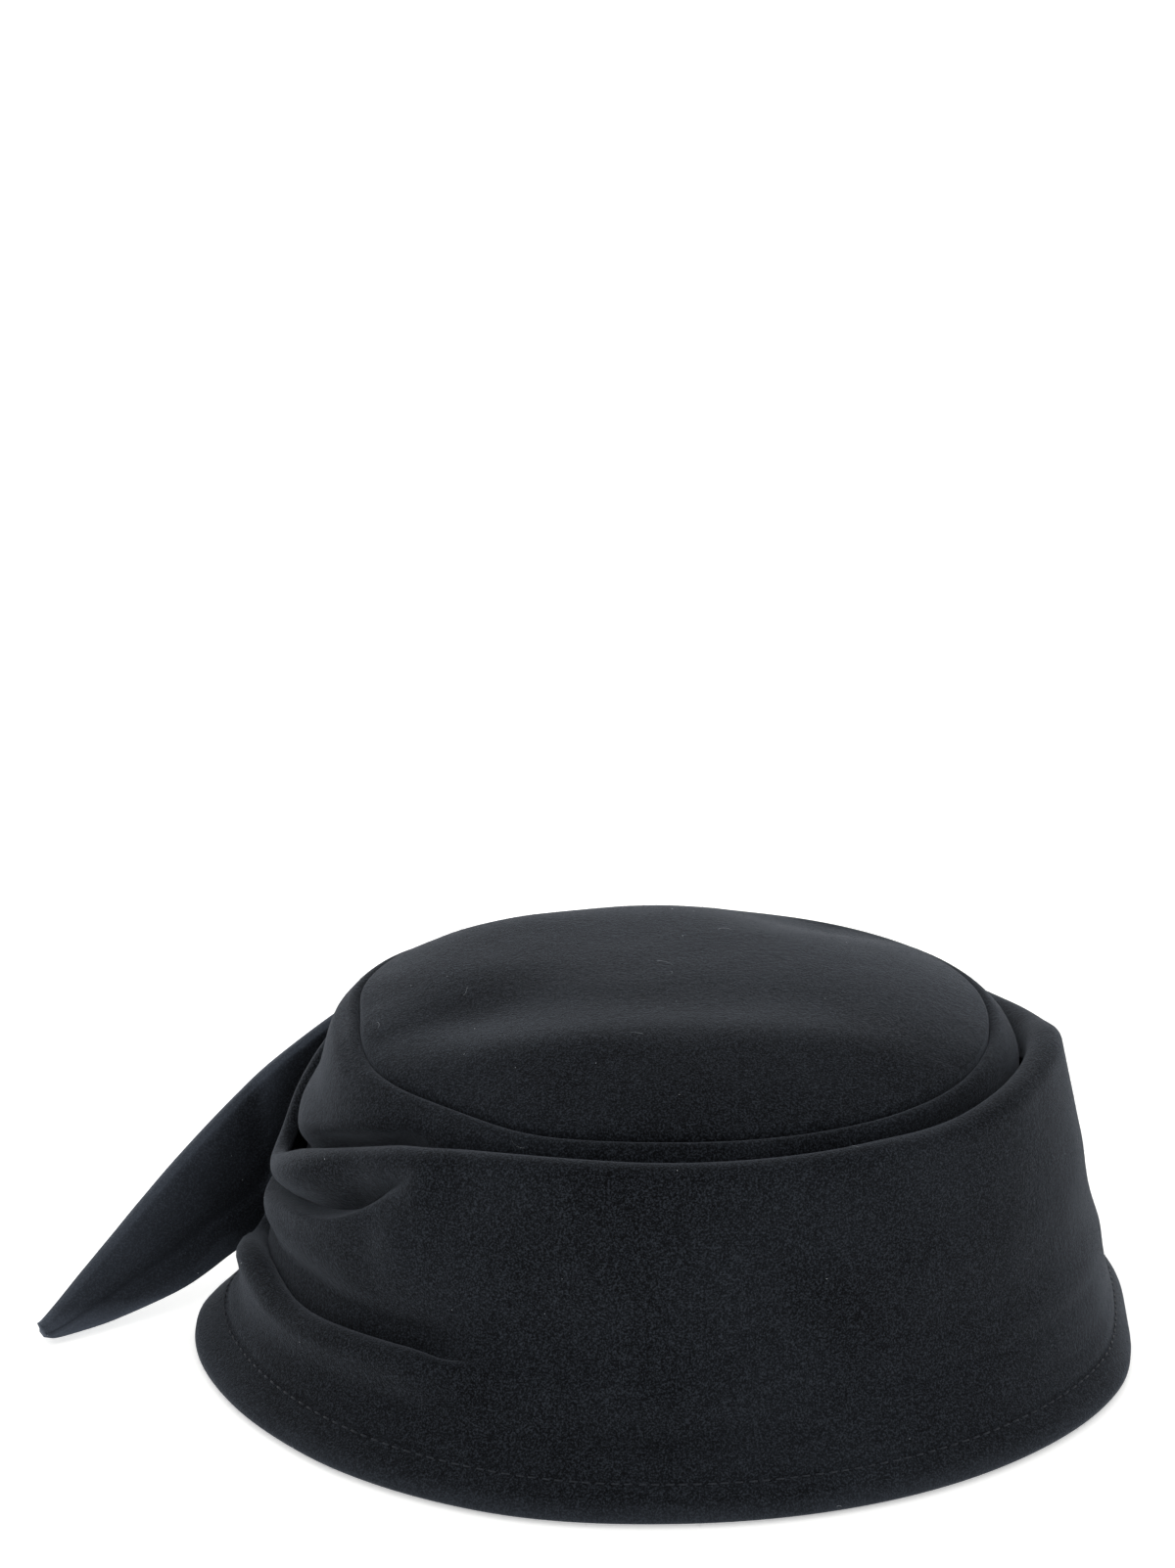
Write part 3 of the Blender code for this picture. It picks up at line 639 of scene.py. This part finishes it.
# The tail
tail = {
    "reach": 82.0, "top": 66.0, "heading": 214.5, "start": 154.0, "root": 116.0,
    "fold": 3.4, "edge": 1.3, "kick": 5.0, "clear": 0.8, "lift": 4.0,
    "lean": 4.5,          # how far its top edge leans back
    "leanAlong": 0.25, "leanFrom": 0.4, "leanOver": 0.7,
    "strip": 0.30,        # the hem strip's share of the tail's height
    "stripStep": 1.5,     # how far the turned strip stands in front
    "stripBelow": 0.03, "stripEasing": 0.05,
    "ridge": 0.5, "keel": 0.7, "lowest": 0.2,   # its top and bottom edges
    "rootSections": [
        # along  top  fold
        (0.00, 0.99, 0.38),
        (0.27, 0.99, 0.40),
        (0.54, 0.98, 0.48),
        (0.79, 0.965, 0.62),
    ],
    "sections": [
        # along  top  foot  fold  kick  bow
        (0.12, 0.812, 0.33, 0.80, 0.00, 0.000),
        (0.24, 0.695, 0.19, 0.95, 0.30, 0.004),
        (0.38, 0.572, 0.145, 1.00, 0.80, 0.010),
        (0.52, 0.440, 0.090, 1.00, 1.00, 0.012),
        (0.66, 0.303, 0.058, 0.95, 1.00, 0.016),
        (0.79, 0.182, 0.033, 0.85, 0.80, 0.026),
        (0.90, 0.094, 0.022, 0.70, 0.40, 0.040),
        (0.97, 0.058, 0.020, 0.50, 0.10, 0.052),
        (1.00, 0.056, 0.030, 0.30, 0.00, 0.056),
    ],
    "levels": [
        # up  fold
        (0.00, 0.00), (0.10, 0.00), (0.24, 0.00), (0.45, 0.25),
        (0.68, 0.70), (0.86, 1.00), (0.96, 0.72), (1.00, 0.25),
    ],
    "spans": 9, "rises": 5,
}


def bandFace(angle, height):
    wall, _, _ = bandWall(angle)
    share = (height - waistAt(angle)) / wall
    return bodyOut(angle, max(share, 0.0)) + reliefAt(angle, height)


# Middle points, side directions and half thicknesses of the tail's sections, root first
def tailSections():
    rows = []
    for along, topShare, foldShare in tail["rootSections"]:
        angle = tail["root"] + (tail["start"] - tail["root"]) * along
        foot = cloth["waist"] + tail["lift"]
        top = tail["top"] * topShare
        fold = tail["fold"] * foldShare
        x, y, nx, ny = waistOval(angle)
        row = []
        for up, mix in tail["levels"]:
            half = tail["edge"] + (fold - tail["edge"]) * mix
            height = foot + (top - foot) * up
            out = bandFace(angle, height) + tail["clear"] + half
            row.append((x + nx * out, y + ny * out, height, nx, ny, half, up))
        rows.append(row)
    x, y, nx, ny = waistOval(tail["start"])
    out = cloth["gap"] + 2 * cloth["half"]
    start = (x + nx * out, y + ny * out)
    heading = (cos(radians(tail["heading"])), sin(radians(tail["heading"])))
    side = (heading[1], -heading[0])
    for along, topShare, footShare, foldShare, kickShare, bow in tail["sections"]:
        top, foot = tail["top"] * topShare, tail["top"] * footShare
        row = []
        for up, mix in tail["levels"]:
            forward = tail["kick"] * kickShare * (1 - ease(up / tail["strip"])) + tail["reach"] * bow
            leaning = ease(along / tail["leanAlong"]) * ease((up - tail["leanFrom"]) / tail["leanOver"])
            forward -= tail["lean"] * foldShare * leaning
            x = start[0] + heading[0] * tail["reach"] * along - side[0] * forward
            y = start[1] + heading[1] * tail["reach"] * along - side[1] * forward
            half = tail["edge"] + (tail["fold"] * foldShare - tail["edge"]) * mix
            row.append((x, y, foot + (top - foot) * up, side[0], side[1], half, up))
        rows.append(row)
    return rows


def between(a, b, height):
    return ((a[0] + b[0]) / 2, (a[1] + b[1]) / 2, height)


def makeTail():
    rows = np.array(tailSections())
    along = [throughPoints([tuple(p) for p in rows[:, k]], tail["spans"]) for k in range(rows.shape[1])]
    loops = []
    for row in np.array(along).transpose(1, 0, 2):
        near, far = [], []
        for x, y, z, sx, sy, half, up in throughPoints([tuple(p) for p in row], tail["rises"]):
            size = hypot(sx, sy) or 1.0
            sx, sy = sx / size, sy / size
            over = ease((up - tail["strip"] + tail["stripBelow"]) / tail["stripEasing"])
            step = tail["stripStep"] * (1 - over)
            wave = uneven(x, y, z)
            near.append((x - sx * (half + step + wave), y - sy * (half + step + wave), z))
            far.append((x + sx * (half - wave), y + sy * (half - wave), z))
        ridge = [between(near[-1], far[-1], near[-1][2] + tail["ridge"])]
        keel = [between(near[0], far[0], max(near[0][2] - tail["keel"], tail["lowest"]))]
        loop = near + ridge + far[::-1] + keel
        loops.append(loop + loop[:1])
    centres = [np.mean(loops[i][:-1], axis=0) for i in (0, -1)]
    loops = [[tuple(centres[0])] * len(loops[0])] + loops + [[tuple(centres[1])] * len(loops[0])]
    piece = layGrid("drapeTail", loops)
    editAll()
    bpy.ops.mesh.normals_make_consistent(inside=False)
    bpy.ops.object.mode_set(mode="OBJECT")
    shadeSmooth(piece)
    return piece


print("tail")
tailPiece = makeTail()


# Materials
def fromHex(code):
    values = [int(code[k:k + 2], 16) / 255 for k in (1, 3, 5)]
    return tuple(v / 12.92 if v <= 0.04045 else ((v + 0.055) / 1.055) ** 2.4 for v in values) + (1.0,)


# Adds a node with its settings and links: inputs given as (node, output) are linked
def addNode(tree, kind, settings=None, **inputs):
    node = tree.nodes.new(kind)
    for key, value in (settings or {}).items():
        setattr(node, key, value)
    for key, value in inputs.items():
        numbered = key[0] == "n" and key[1:].isdigit()
        socket = node.inputs[int(key[1:]) if numbered else key.replace("_", " ")]
        if isinstance(value, tuple) and len(value) == 2 and hasattr(value[0], "outputs"):
            tree.links.new(value[0].outputs[value[1]], socket)
        else:
            socket.default_value = value
    return node


# Noise at a size in mm
def addNoise(tree, spot, size, **inputs):
    return addNode(tree, "ShaderNodeTexNoise", Vector=(spot, "Object"), Scale=1 / (size * mm), **inputs)


# Takes a value from one range to another, by their four ends
def addRange(tree, value, *ends):
    sockets = {"n" + str(i): end for i, end in enumerate(ends, 1)}
    return addNode(tree, "ShaderNodeMapRange", n0=value, **sockets)


def addMath(tree, operation, *values):
    sockets = {"n" + str(i): value for i, value in enumerate(values)}
    return addNode(tree, "ShaderNodeMath", {"operation": operation}, **sockets)


# A material with its Principled shader, whose own sockets are set
def newMaterial(name, **inputs):
    material = bpy.data.materials.new(name)
    material.use_nodes = True
    shader = material.node_tree.nodes["Principled BSDF"]
    for key, value in inputs.items():
        shader.inputs[key.replace("_", " ")].default_value = value
    return material, material.node_tree, shader


# The base colour runs between two hex colours by a value
def mixColours(tree, shader, value, low, high):
    colour = addNode(tree, "ShaderNodeMix", {"data_type": "RGBA"},
                     n0=value, n6=fromHex(low), n7=fromHex(high))
    tree.links.new(colour.outputs[2], shader.inputs["Base Color"])


melton = {
    "deep": "#050608", "nap": "#2c3036", "sheenTint": "#adb5c2",
    "sheen": 0.33, "sheenRoughness": 0.34, "roughness": 0.95, "specular": 0.08,
    "grain": 0.46,        # mm, tips of the milled nap, drawn a little coarse to show
    "clump": 1.5,         # mm, felted clumps
    "drift": 34.0,        # mm, slow shading of the brushed nap
    "detail": 3.0, "slowDetail": 2.0, "grainRoughness": 0.7, "clumpRoughness": 0.6,
    "fine": (0.47, 0.63), "patch": (0.3, 0.7, 0.0, 0.14), "slow": (0.3, 0.7, -0.08, 0.10),
    "fineShare": 0.85, "clumpShare": 0.8,
    "napHeight": 0.36, "napStrength": 0.7,      # mm
    "rounds": 14, "hollow": 0.9, "crease": 0.60,  # painted shade: the colour is darkened in the creases
    "edge": 5.5, "hemHighlight": 0.75,   # mm, and a painted highlight pales the brim's lower edge, standing for the light the hem catches from the floor
    # The tail's own copy of the same cloth: a paler nap colour that only its painted highlights reach
    "tailHighlightNap": "#4a505a", "tailLevel": 0.25, "tailRimLight": 0.48,
    "tailFrom": -96.0, "tailTo": -152.0, "tailTipLight": 0.26,  # mm along x, where a painted highlight grows paler toward its free end
}


# Marks each vertex by how far, in mm, the cloth round it stands in front of it; the cloth's material
# paints shade in the creases from this
def markCreases(piece):
    mesh = piece.data
    count = len(mesh.vertices)
    points, normals = np.empty((count, 3)), np.empty((count, 3))
    mesh.vertices.foreach_get("co", points.reshape(-1))
    mesh.vertices.foreach_get("normal", normals.reshape(-1))
    ends = np.empty((len(mesh.edges), 2), dtype=np.int32)
    mesh.edges.foreach_get("vertices", ends.reshape(-1))
    starts = np.concatenate((ends[:, 0], ends[:, 1]))
    stops = np.concatenate((ends[:, 1], ends[:, 0]))
    neighbours = np.bincount(starts, minlength=count)
    smooth = points
    for _ in range(melton["rounds"]):
        sums = [np.bincount(starts, weights=smooth[stops, k], minlength=count) for k in range(3)]
        smooth = np.stack(sums, axis=1) / neighbours[:, None]
    depth = ((smooth - points) * normals).sum(axis=1) / mm
    crease = mesh.attributes.new("crease", "FLOAT", "POINT")
    crease.data.foreach_set("value", depth.astype(np.float32))
    print(piece.name, "creases", round(float(depth.min()), 2), round(float(depth.max()), 2))


# Wool melton: milled, felted and cropped, so it shows no weave, only a fine matte nap whose
# fibre tips catch light at a grazing angle
def woolMelton(name, nap, level, rimLight, end):
    material, tree, shader = newMaterial(
        name, Roughness=melton["roughness"], Specular_IOR_Level=melton["specular"],
        Sheen_Weight=melton["sheen"], Sheen_Roughness=melton["sheenRoughness"],
        Sheen_Tint=fromHex(melton["sheenTint"]))
    spot = addNode(tree, "ShaderNodeTexCoord")
    detail = melton["detail"]
    grain = addNoise(tree, spot, melton["grain"], Detail=detail, Roughness=melton["grainRoughness"])
    clump = addNoise(tree, spot, melton["clump"], Detail=detail, Roughness=melton["clumpRoughness"])
    drift = addNoise(tree, spot, melton["drift"], Detail=melton["slowDetail"])
    fine = addRange(tree, (grain, "Fac"), *melton["fine"])
    patch = addRange(tree, (clump, "Fac"), *melton["patch"])
    slow = addRange(tree, (drift, "Fac"), *melton["slow"])
    both = addMath(tree, "MULTIPLY_ADD", (fine, "Result"), melton["fineShare"], (patch, "Result"))
    total = addMath(tree, "ADD", (both, "Value"), (slow, "Result"))
    total.use_clamp = True

    # Painted shade darkens the creases; painted highlights pale the folded and rolled edges, the brim's
    # lower edge and the tail's free end
    hollow = melton["hollow"]
    crease = addNode(tree, "ShaderNodeAttribute", {"attribute_name": "crease"})
    # painted shade: the nap colour is darkened where the cloth hollows into a crease
    pressed = addRange(tree, (crease, "Fac"), 0.0, hollow, level, level * (1 - melton["crease"]))
    # painted highlight: convex rolled edges are paled, standing for the rim light they catch
    paintedRimLight = addRange(tree, (crease, "Fac"), -hollow, 0.0, rimLight, 0.0)
    low = addNode(tree, "ShaderNodeSeparateXYZ", Vector=(spot, "Object"))
    # painted highlight: the lowest mm of the cloth are paled, for the light from the floor
    brimHighlight = addRange(tree, (low, "Z"), 0.0, melton["edge"] * mm, melton["hemHighlight"], 0.0)
    # painted highlight: paler along x toward the tail's free end, standing for the light on its tip
    tipHighlight = addRange(tree, (low, "X"), melton["tailFrom"] * mm, melton["tailTo"] * mm, 0.0, end)
    edges = addMath(tree, "ADD", (paintedRimLight, "Result"), (brimHighlight, "Result"))
    paler = addMath(tree, "ADD", (edges, "Value"), (tipHighlight, "Result"))
    # the grain's colour with the painted shade and painted highlights laid on it
    napWithPaintedLight = addMath(tree, "MULTIPLY_ADD", (total, "Value"), (pressed, "Result"), (paler, "Value"))
    mixColours(tree, shader, (napWithPaintedLight, "Value"), melton["deep"], nap)
    height = addMath(tree, "MULTIPLY_ADD", (clump, "Fac"), melton["clumpShare"], (grain, "Fac"))
    relief = addNode(tree, "ShaderNodeBump", Strength=melton["napStrength"],
                     Distance=melton["napHeight"] * mm, Height=(height, "Value"))
    tree.links.new(relief.outputs["Normal"], shader.inputs["Normal"])
    return material


meltonCloth = woolMelton("wool melton", melton["nap"], 1.0, 0.0, 0.0)
# The tail gets a separate copy of the melton whose paler colour carries painted highlights, standing for
# the light it catches
tailHighlightCloth = woolMelton("wool melton with painted highlights", melton["tailHighlightNap"], melton["tailLevel"],
                       melton["tailRimLight"], melton["tailTipLight"])
for piece in (crownSidePiece, crownTipPiece, bandPiece, tailPiece):
    markCreases(piece)
    piece.data.materials.clear()
    piece.data.materials.append(tailHighlightCloth if piece is tailPiece else meltonCloth)


# Sewing thread of the hem: one stitch is modelled and copied along its row
stitches = {
    "length": 2.0, "pitch": 3.2, "thick": 0.46, "stand": 0.06, "sides": 8, "rounding": 0.45,
    "samples": 1440, "away": 60, "rootAway": 40,      # rays that find the cloth's face
    "rootFrom": 37.0, "rootTo": 62.0, "rootIn": 4.0,  # the row that holds the tail's root
    "colour": "#2c3138", "shade": "#2a2f38", "roughness": 0.55, "twist": 0.5,
}


def modelStitch():
    deselectAll()
    radius, length = stitches["thick"] / 2 * mm, stitches["length"] * mm
    bpy.ops.mesh.primitive_cylinder_add(vertices=stitches["sides"], radius=radius, depth=length)
    stitch = bpy.context.object
    editAll()
    bpy.ops.mesh.bevel(offset=stitches["thick"] * stitches["rounding"] * mm, segments=2)
    bpy.ops.object.mode_set(mode="OBJECT")
    return stitch


def sewStitches(name, spots, material):
    stitch = modelStitch()
    copies = []
    for middle, ahead, up in spots:
        copy = bpy.data.objects.new(name, stitch.data.copy())
        bpy.context.collection.objects.link(copy)
        z = ahead.normalized()
        x = up.cross(z).normalized()
        turn = Matrix((x, z.cross(x), z)).transposed().to_4x4()
        copy.data.transform(Matrix.Translation(middle) @ turn)
        copies.append(copy)
    bpy.data.objects.remove(stitch, do_unlink=True)
    deselectAll()
    for copy in copies:
        copy.select_set(True)
    bpy.context.view_layer.objects.active = copies[0]
    bpy.ops.object.join()
    piece = bpy.context.object
    piece.name = piece.data.name = name
    piece.data.materials.clear()
    piece.data.materials.append(material)
    shadeSmooth(piece)
    return piece


# Points of the hem's stitch row, evenly spaced along the brim's outer face
def hemStitchSpots():
    tree = BVHTree.FromObject(bandPiece, bpy.context.evaluated_depsgraph_get())
    rail = []
    samples, away = stitches["samples"], stitches["away"]
    for i in range(samples):
        x, y, nx, ny = waistOval(360 * i / samples)
        start = Vector((x + away * nx, y + away * ny, band["stitchHeight"])) * mm
        hit, normal, _, _ = tree.ray_cast(start, Vector((-nx, -ny, 0)))
        rail.append((hit, normal))
    spots = []
    walked = 0.0
    for i in range(len(rail)):
        (here, _), (there, normal) = rail[i], rail[(i + 1) % len(rail)]
        walked += (there - here).length / mm
        if walked >= stitches["pitch"]:
            walked -= stitches["pitch"]
            spots.append((there + normal * stitches["stand"] * mm, (there - here).normalized(), normal))
    return spots


# The row that holds the tail's root to the band, a little in from its end
def rootStitchSpots():
    tree = BVHTree.FromObject(tailPiece, bpy.context.evaluated_depsgraph_get())
    x, y, nx, ny = waistOval(tail["root"])
    ahead = Vector((ny, -nx, 0))
    away = stitches["rootAway"]
    spots = []
    for height in np.arange(stitches["rootFrom"], stitches["rootTo"], stitches["pitch"]):
        start = Vector((x + away * nx, y + away * ny, height)) + ahead * -stitches["rootIn"]
        hit, normal, _, _ = tree.ray_cast(start * mm, Vector((-nx, -ny, 0)))
        if hit is not None:
            spots.append((hit + normal * stitches["stand"] * mm, Vector((0, 0, 1)), normal))
    return spots


def sewingThread():
    material, tree, shader = newMaterial("polyester sewing thread", Roughness=stitches["roughness"])
    spot = addNode(tree, "ShaderNodeTexCoord")
    twist = addNoise(tree, spot, stitches["twist"])
    mixColours(tree, shader, (twist, "Fac"), stitches["colour"], stitches["shade"])
    return material


print("stitches")
thread = sewingThread()
hemStitches = sewStitches("hemStitches", hemStitchSpots(), thread)
rootStitches = sewStitches("rootStitches", rootStitchSpots(), thread)

# Loose fibre ends of the nap, with a little lint and a few curled fibres caught on the cloth
fluff = {
    "nap": {"count": 8200, "length": (0.5, 1.4), "thick": 0.045, "turn": 1.3, "rise": 0.6, "steps": 3},
    "curls": {"count": 22, "length": (1.5, 5.5), "thick": 0.06, "turn": 3.4, "rise": 0.30, "steps": 8},
    "lint": {"count": 60, "length": (0.2, 0.5), "thick": 0.17, "turn": 1.0, "rise": 0.10, "steps": 2},
    "seed": 11,
    "hidden": 9.0,        # no strand where cloth lies this near in front
    "probe": 0.4, "scatter": 0.5, "upward": 0.5, "facing": 0.05,
    "riseShares": (0.2, 1.0), "leastTurn": 0.05, "taper": 0.5, "off": 0.02, "arch": 2.2,
    "shade": ("#14181e", "#3a424d"), "pale": ("#5d656e", "#c3c9ce"),
    "roughness": 0.75, "mottle": 2.0, "spread": (0.3, 0.7),
}


# Seeded spots on the cloth's open faces: place, normal and a direction along the cloth
def openSpots(pieces, count, chance):
    trees = [BVHTree.FromObject(piece, bpy.context.evaluated_depsgraph_get()) for piece in pieces]
    centres, normals, areas = [], [], []
    for piece in pieces:
        mesh = piece.data
        block = np.empty((len(mesh.polygons), 3))
        mesh.polygons.foreach_get("center", block.reshape(-1))
        facing = np.empty((len(mesh.polygons), 3))
        mesh.polygons.foreach_get("normal", facing.reshape(-1))
        size = np.empty(len(mesh.polygons))
        mesh.polygons.foreach_get("area", size)
        if piece is not tailPiece:
            outward = block * (1, 1, 0) / np.linalg.norm(block[:, :2], axis=1)[:, None]
            outward = outward + (0, 0, fluff["upward"])
            size = size * ((facing * outward).sum(axis=1) > fluff["facing"])
        centres.append(block)
        normals.append(facing)
        areas.append(size)
    centres, normals, areas = np.concatenate(centres), np.concatenate(normals), np.concatenate(areas)
    spots = []
    while len(spots) < count:
        for pick in chance.choice(len(areas), size=count, p=areas / areas.sum()):
            normal = Vector(normals[pick])
            along = normal.cross(Vector(chance.normal(size=3))).normalized()
            spot = Vector(centres[pick]) + along * float(chance.uniform(0, fluff["scatter"])) * mm
            start = spot + normal * fluff["probe"] * mm
            if all(tree.ray_cast(start, normal, fluff["hidden"] * mm)[0] is None for tree in trees):
                spots.append((spot, normal, along))
    return spots[:count]


# One strand is modelled, copied in a row, and the copies are then laid on their spots
def strewStrands(name, spots, kind, chance, material):
    deselectAll()
    bpy.ops.mesh.primitive_circle_add(vertices=3, radius=1.0, fill_type="NGON")
    piece = bpy.context.object
    piece.name = piece.data.name = name
    editAll()
    for _ in range(kind["steps"]):
        bpy.ops.mesh.extrude_region_move(TRANSFORM_OT_translate={"value": (0, 0, 1.0)})
    bpy.ops.mesh.select_all(action="SELECT")
    bpy.ops.mesh.normals_make_consistent(inside=False)
    bpy.ops.object.mode_set(mode="OBJECT")
    single = np.array([tuple(v.co) for v in piece.data.vertices])
    copies = piece.modifiers.new("copies", "ARRAY")
    copies.count = len(spots)
    copies.relative_offset_displace = (2.0, 0, 0)
    bpy.ops.object.modifier_apply(modifier=copies.name)
    up = single[:, 2] / kind["steps"]
    laid = []
    for spot, normal, along in spots:
        spot, normal, along = np.array(spot) / mm, np.array(normal), np.array(along)
        aside = np.cross(normal, along)
        length = chance.uniform(*kind["length"])
        turn = kind["turn"] * chance.uniform(-1, 1)
        rise = kind["rise"] * chance.uniform(*fluff["riseShares"])
        turn = turn if abs(turn) > fluff["leastTurn"] else fluff["leastTurn"]
        forward = length * np.sin(turn * up) / turn
        sideways = length * (1 - np.cos(turn * up)) / turn
        thick = kind["thick"] / 2 * (1 - fluff["taper"] * up)
        middle = spot + np.outer(forward, along) + np.outer(sideways, aside)
        middle += np.outer(fluff["off"] + rise * np.sin(up * fluff["arch"]), normal)
        laid.append(middle + np.outer(single[:, 0] * thick, normal)
                    + np.outer(single[:, 1] * thick, aside))
    piece.data.vertices.foreach_set("co", (np.concatenate(laid) * mm).ravel())
    piece.data.update()
    piece.data.materials.append(material)
    shadeSmooth(piece)
    return piece


def looseWool(name, colours):
    material, tree, shader = newMaterial(name, Roughness=fluff["roughness"])
    spot = addNode(tree, "ShaderNodeTexCoord")
    mottle = addNoise(tree, spot, fluff["mottle"])
    spread = addRange(tree, (mottle, "Fac"), *fluff["spread"])
    mixColours(tree, shader, (spread, "Result"), *colours)
    return material


print("nap fibres and lint")
chance = np.random.default_rng(fluff["seed"])
clothPieces = [crownSidePiece, crownTipPiece, bandPiece, tailPiece]
darkWool = looseWool("loose navy wool", fluff["shade"])
paleWool = looseWool("pale lint", fluff["pale"])
fluffPieces = []
for name, wool in (("nap", darkWool), ("curls", paleWool), ("lint", paleWool)):
    spots = openSpots(clothPieces, fluff[name]["count"], chance)
    fluffPieces.append(strewStrands(name + "Fibres", spots, fluff[name], chance, wool))

for piece in fluffPieces:
    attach(piece, "root")
for piece, node in ((crownSidePiece, "crown_side"), (crownTipPiece, "crown_tip"),
                    (bandPiece, "drape_band"), (tailPiece, "tail")):
    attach(piece, "root")
    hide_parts(node)
for piece in (hemStitches, rootStitches):
    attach(piece, "root")


# Stage: pale floor, white surroundings and one softbox behind
stage = {
    "floor": "#f4f4f2", "roughness": 0.9, "glow": 0.42, "reach": 30.0,
    "level": -0.0003,     # m, just under the surface that the cap rests on
    "world": 0.98,
    "boxPlace": (-0.3, 1.4, 0.55), "boxAim": (0.0, 0.0, 0.06), "boxSize": (1.8, 0.5), "boxPower": 12.0,
}


def makeStage():
    deselectAll()
    bpy.ops.mesh.primitive_plane_add(size=stage["reach"], location=(0, 0, stage["level"]))
    floor = bpy.context.object
    floor.name = "floor"
    material, _, _ = newMaterial(
        "matte white acrylic lit from below", Base_Color=fromHex(stage["floor"]),
        Roughness=stage["roughness"], Emission_Color=fromHex("#ffffff"), Emission_Strength=stage["glow"])
    floor.data.materials.append(material)
    world = bpy.data.worlds.new("white studio")
    bpy.context.scene.world = world
    world.use_nodes = True
    sky = world.node_tree.nodes["Background"]
    sky.inputs["Color"].default_value = fromHex("#ffffff")
    sky.inputs["Strength"].default_value = stage["world"]


def addSoftbox():
    light = bpy.data.lights.new("back softbox", "AREA")
    light.shape = "RECTANGLE"
    light.size, light.size_y = stage["boxSize"]
    light.energy = stage["boxPower"]
    box = bpy.data.objects.new("back softbox", light)
    bpy.context.scene.collection.objects.link(box)
    box.location = stage["boxPlace"]
    ahead = Vector(stage["boxAim"]) - Vector(stage["boxPlace"])
    box.rotation_euler = ahead.to_track_quat("-Z", "Y").to_euler()


camera = {
    "pitch": 22.0, "distance": 1.5, "aim": (-0.0234, 0.0, 0.1420),
    "lens": 145.2, "sensor": 36.0, "near": 0.05, "far": 60.0,
}


def makeCamera():
    data = bpy.data.cameras.new("camera")
    data.lens = camera["lens"]
    data.sensor_width = camera["sensor"]
    data.clip_start, data.clip_end = camera["near"], camera["far"]
    view = bpy.data.objects.new("camera", data)
    bpy.context.scene.collection.objects.link(view)
    pitch = radians(camera["pitch"])
    away = Vector((0.0, -cos(pitch), sin(pitch)))
    view.location = Vector(camera["aim"]) + away * camera["distance"]
    view.rotation_euler = (-away).to_track_quat("-Z", "Y").to_euler()
    bpy.context.scene.camera = view


print("stage, lights and camera")
makeStage()
addSoftbox()
makeCamera()
bpy.context.scene.view_settings.view_transform = "Standard"
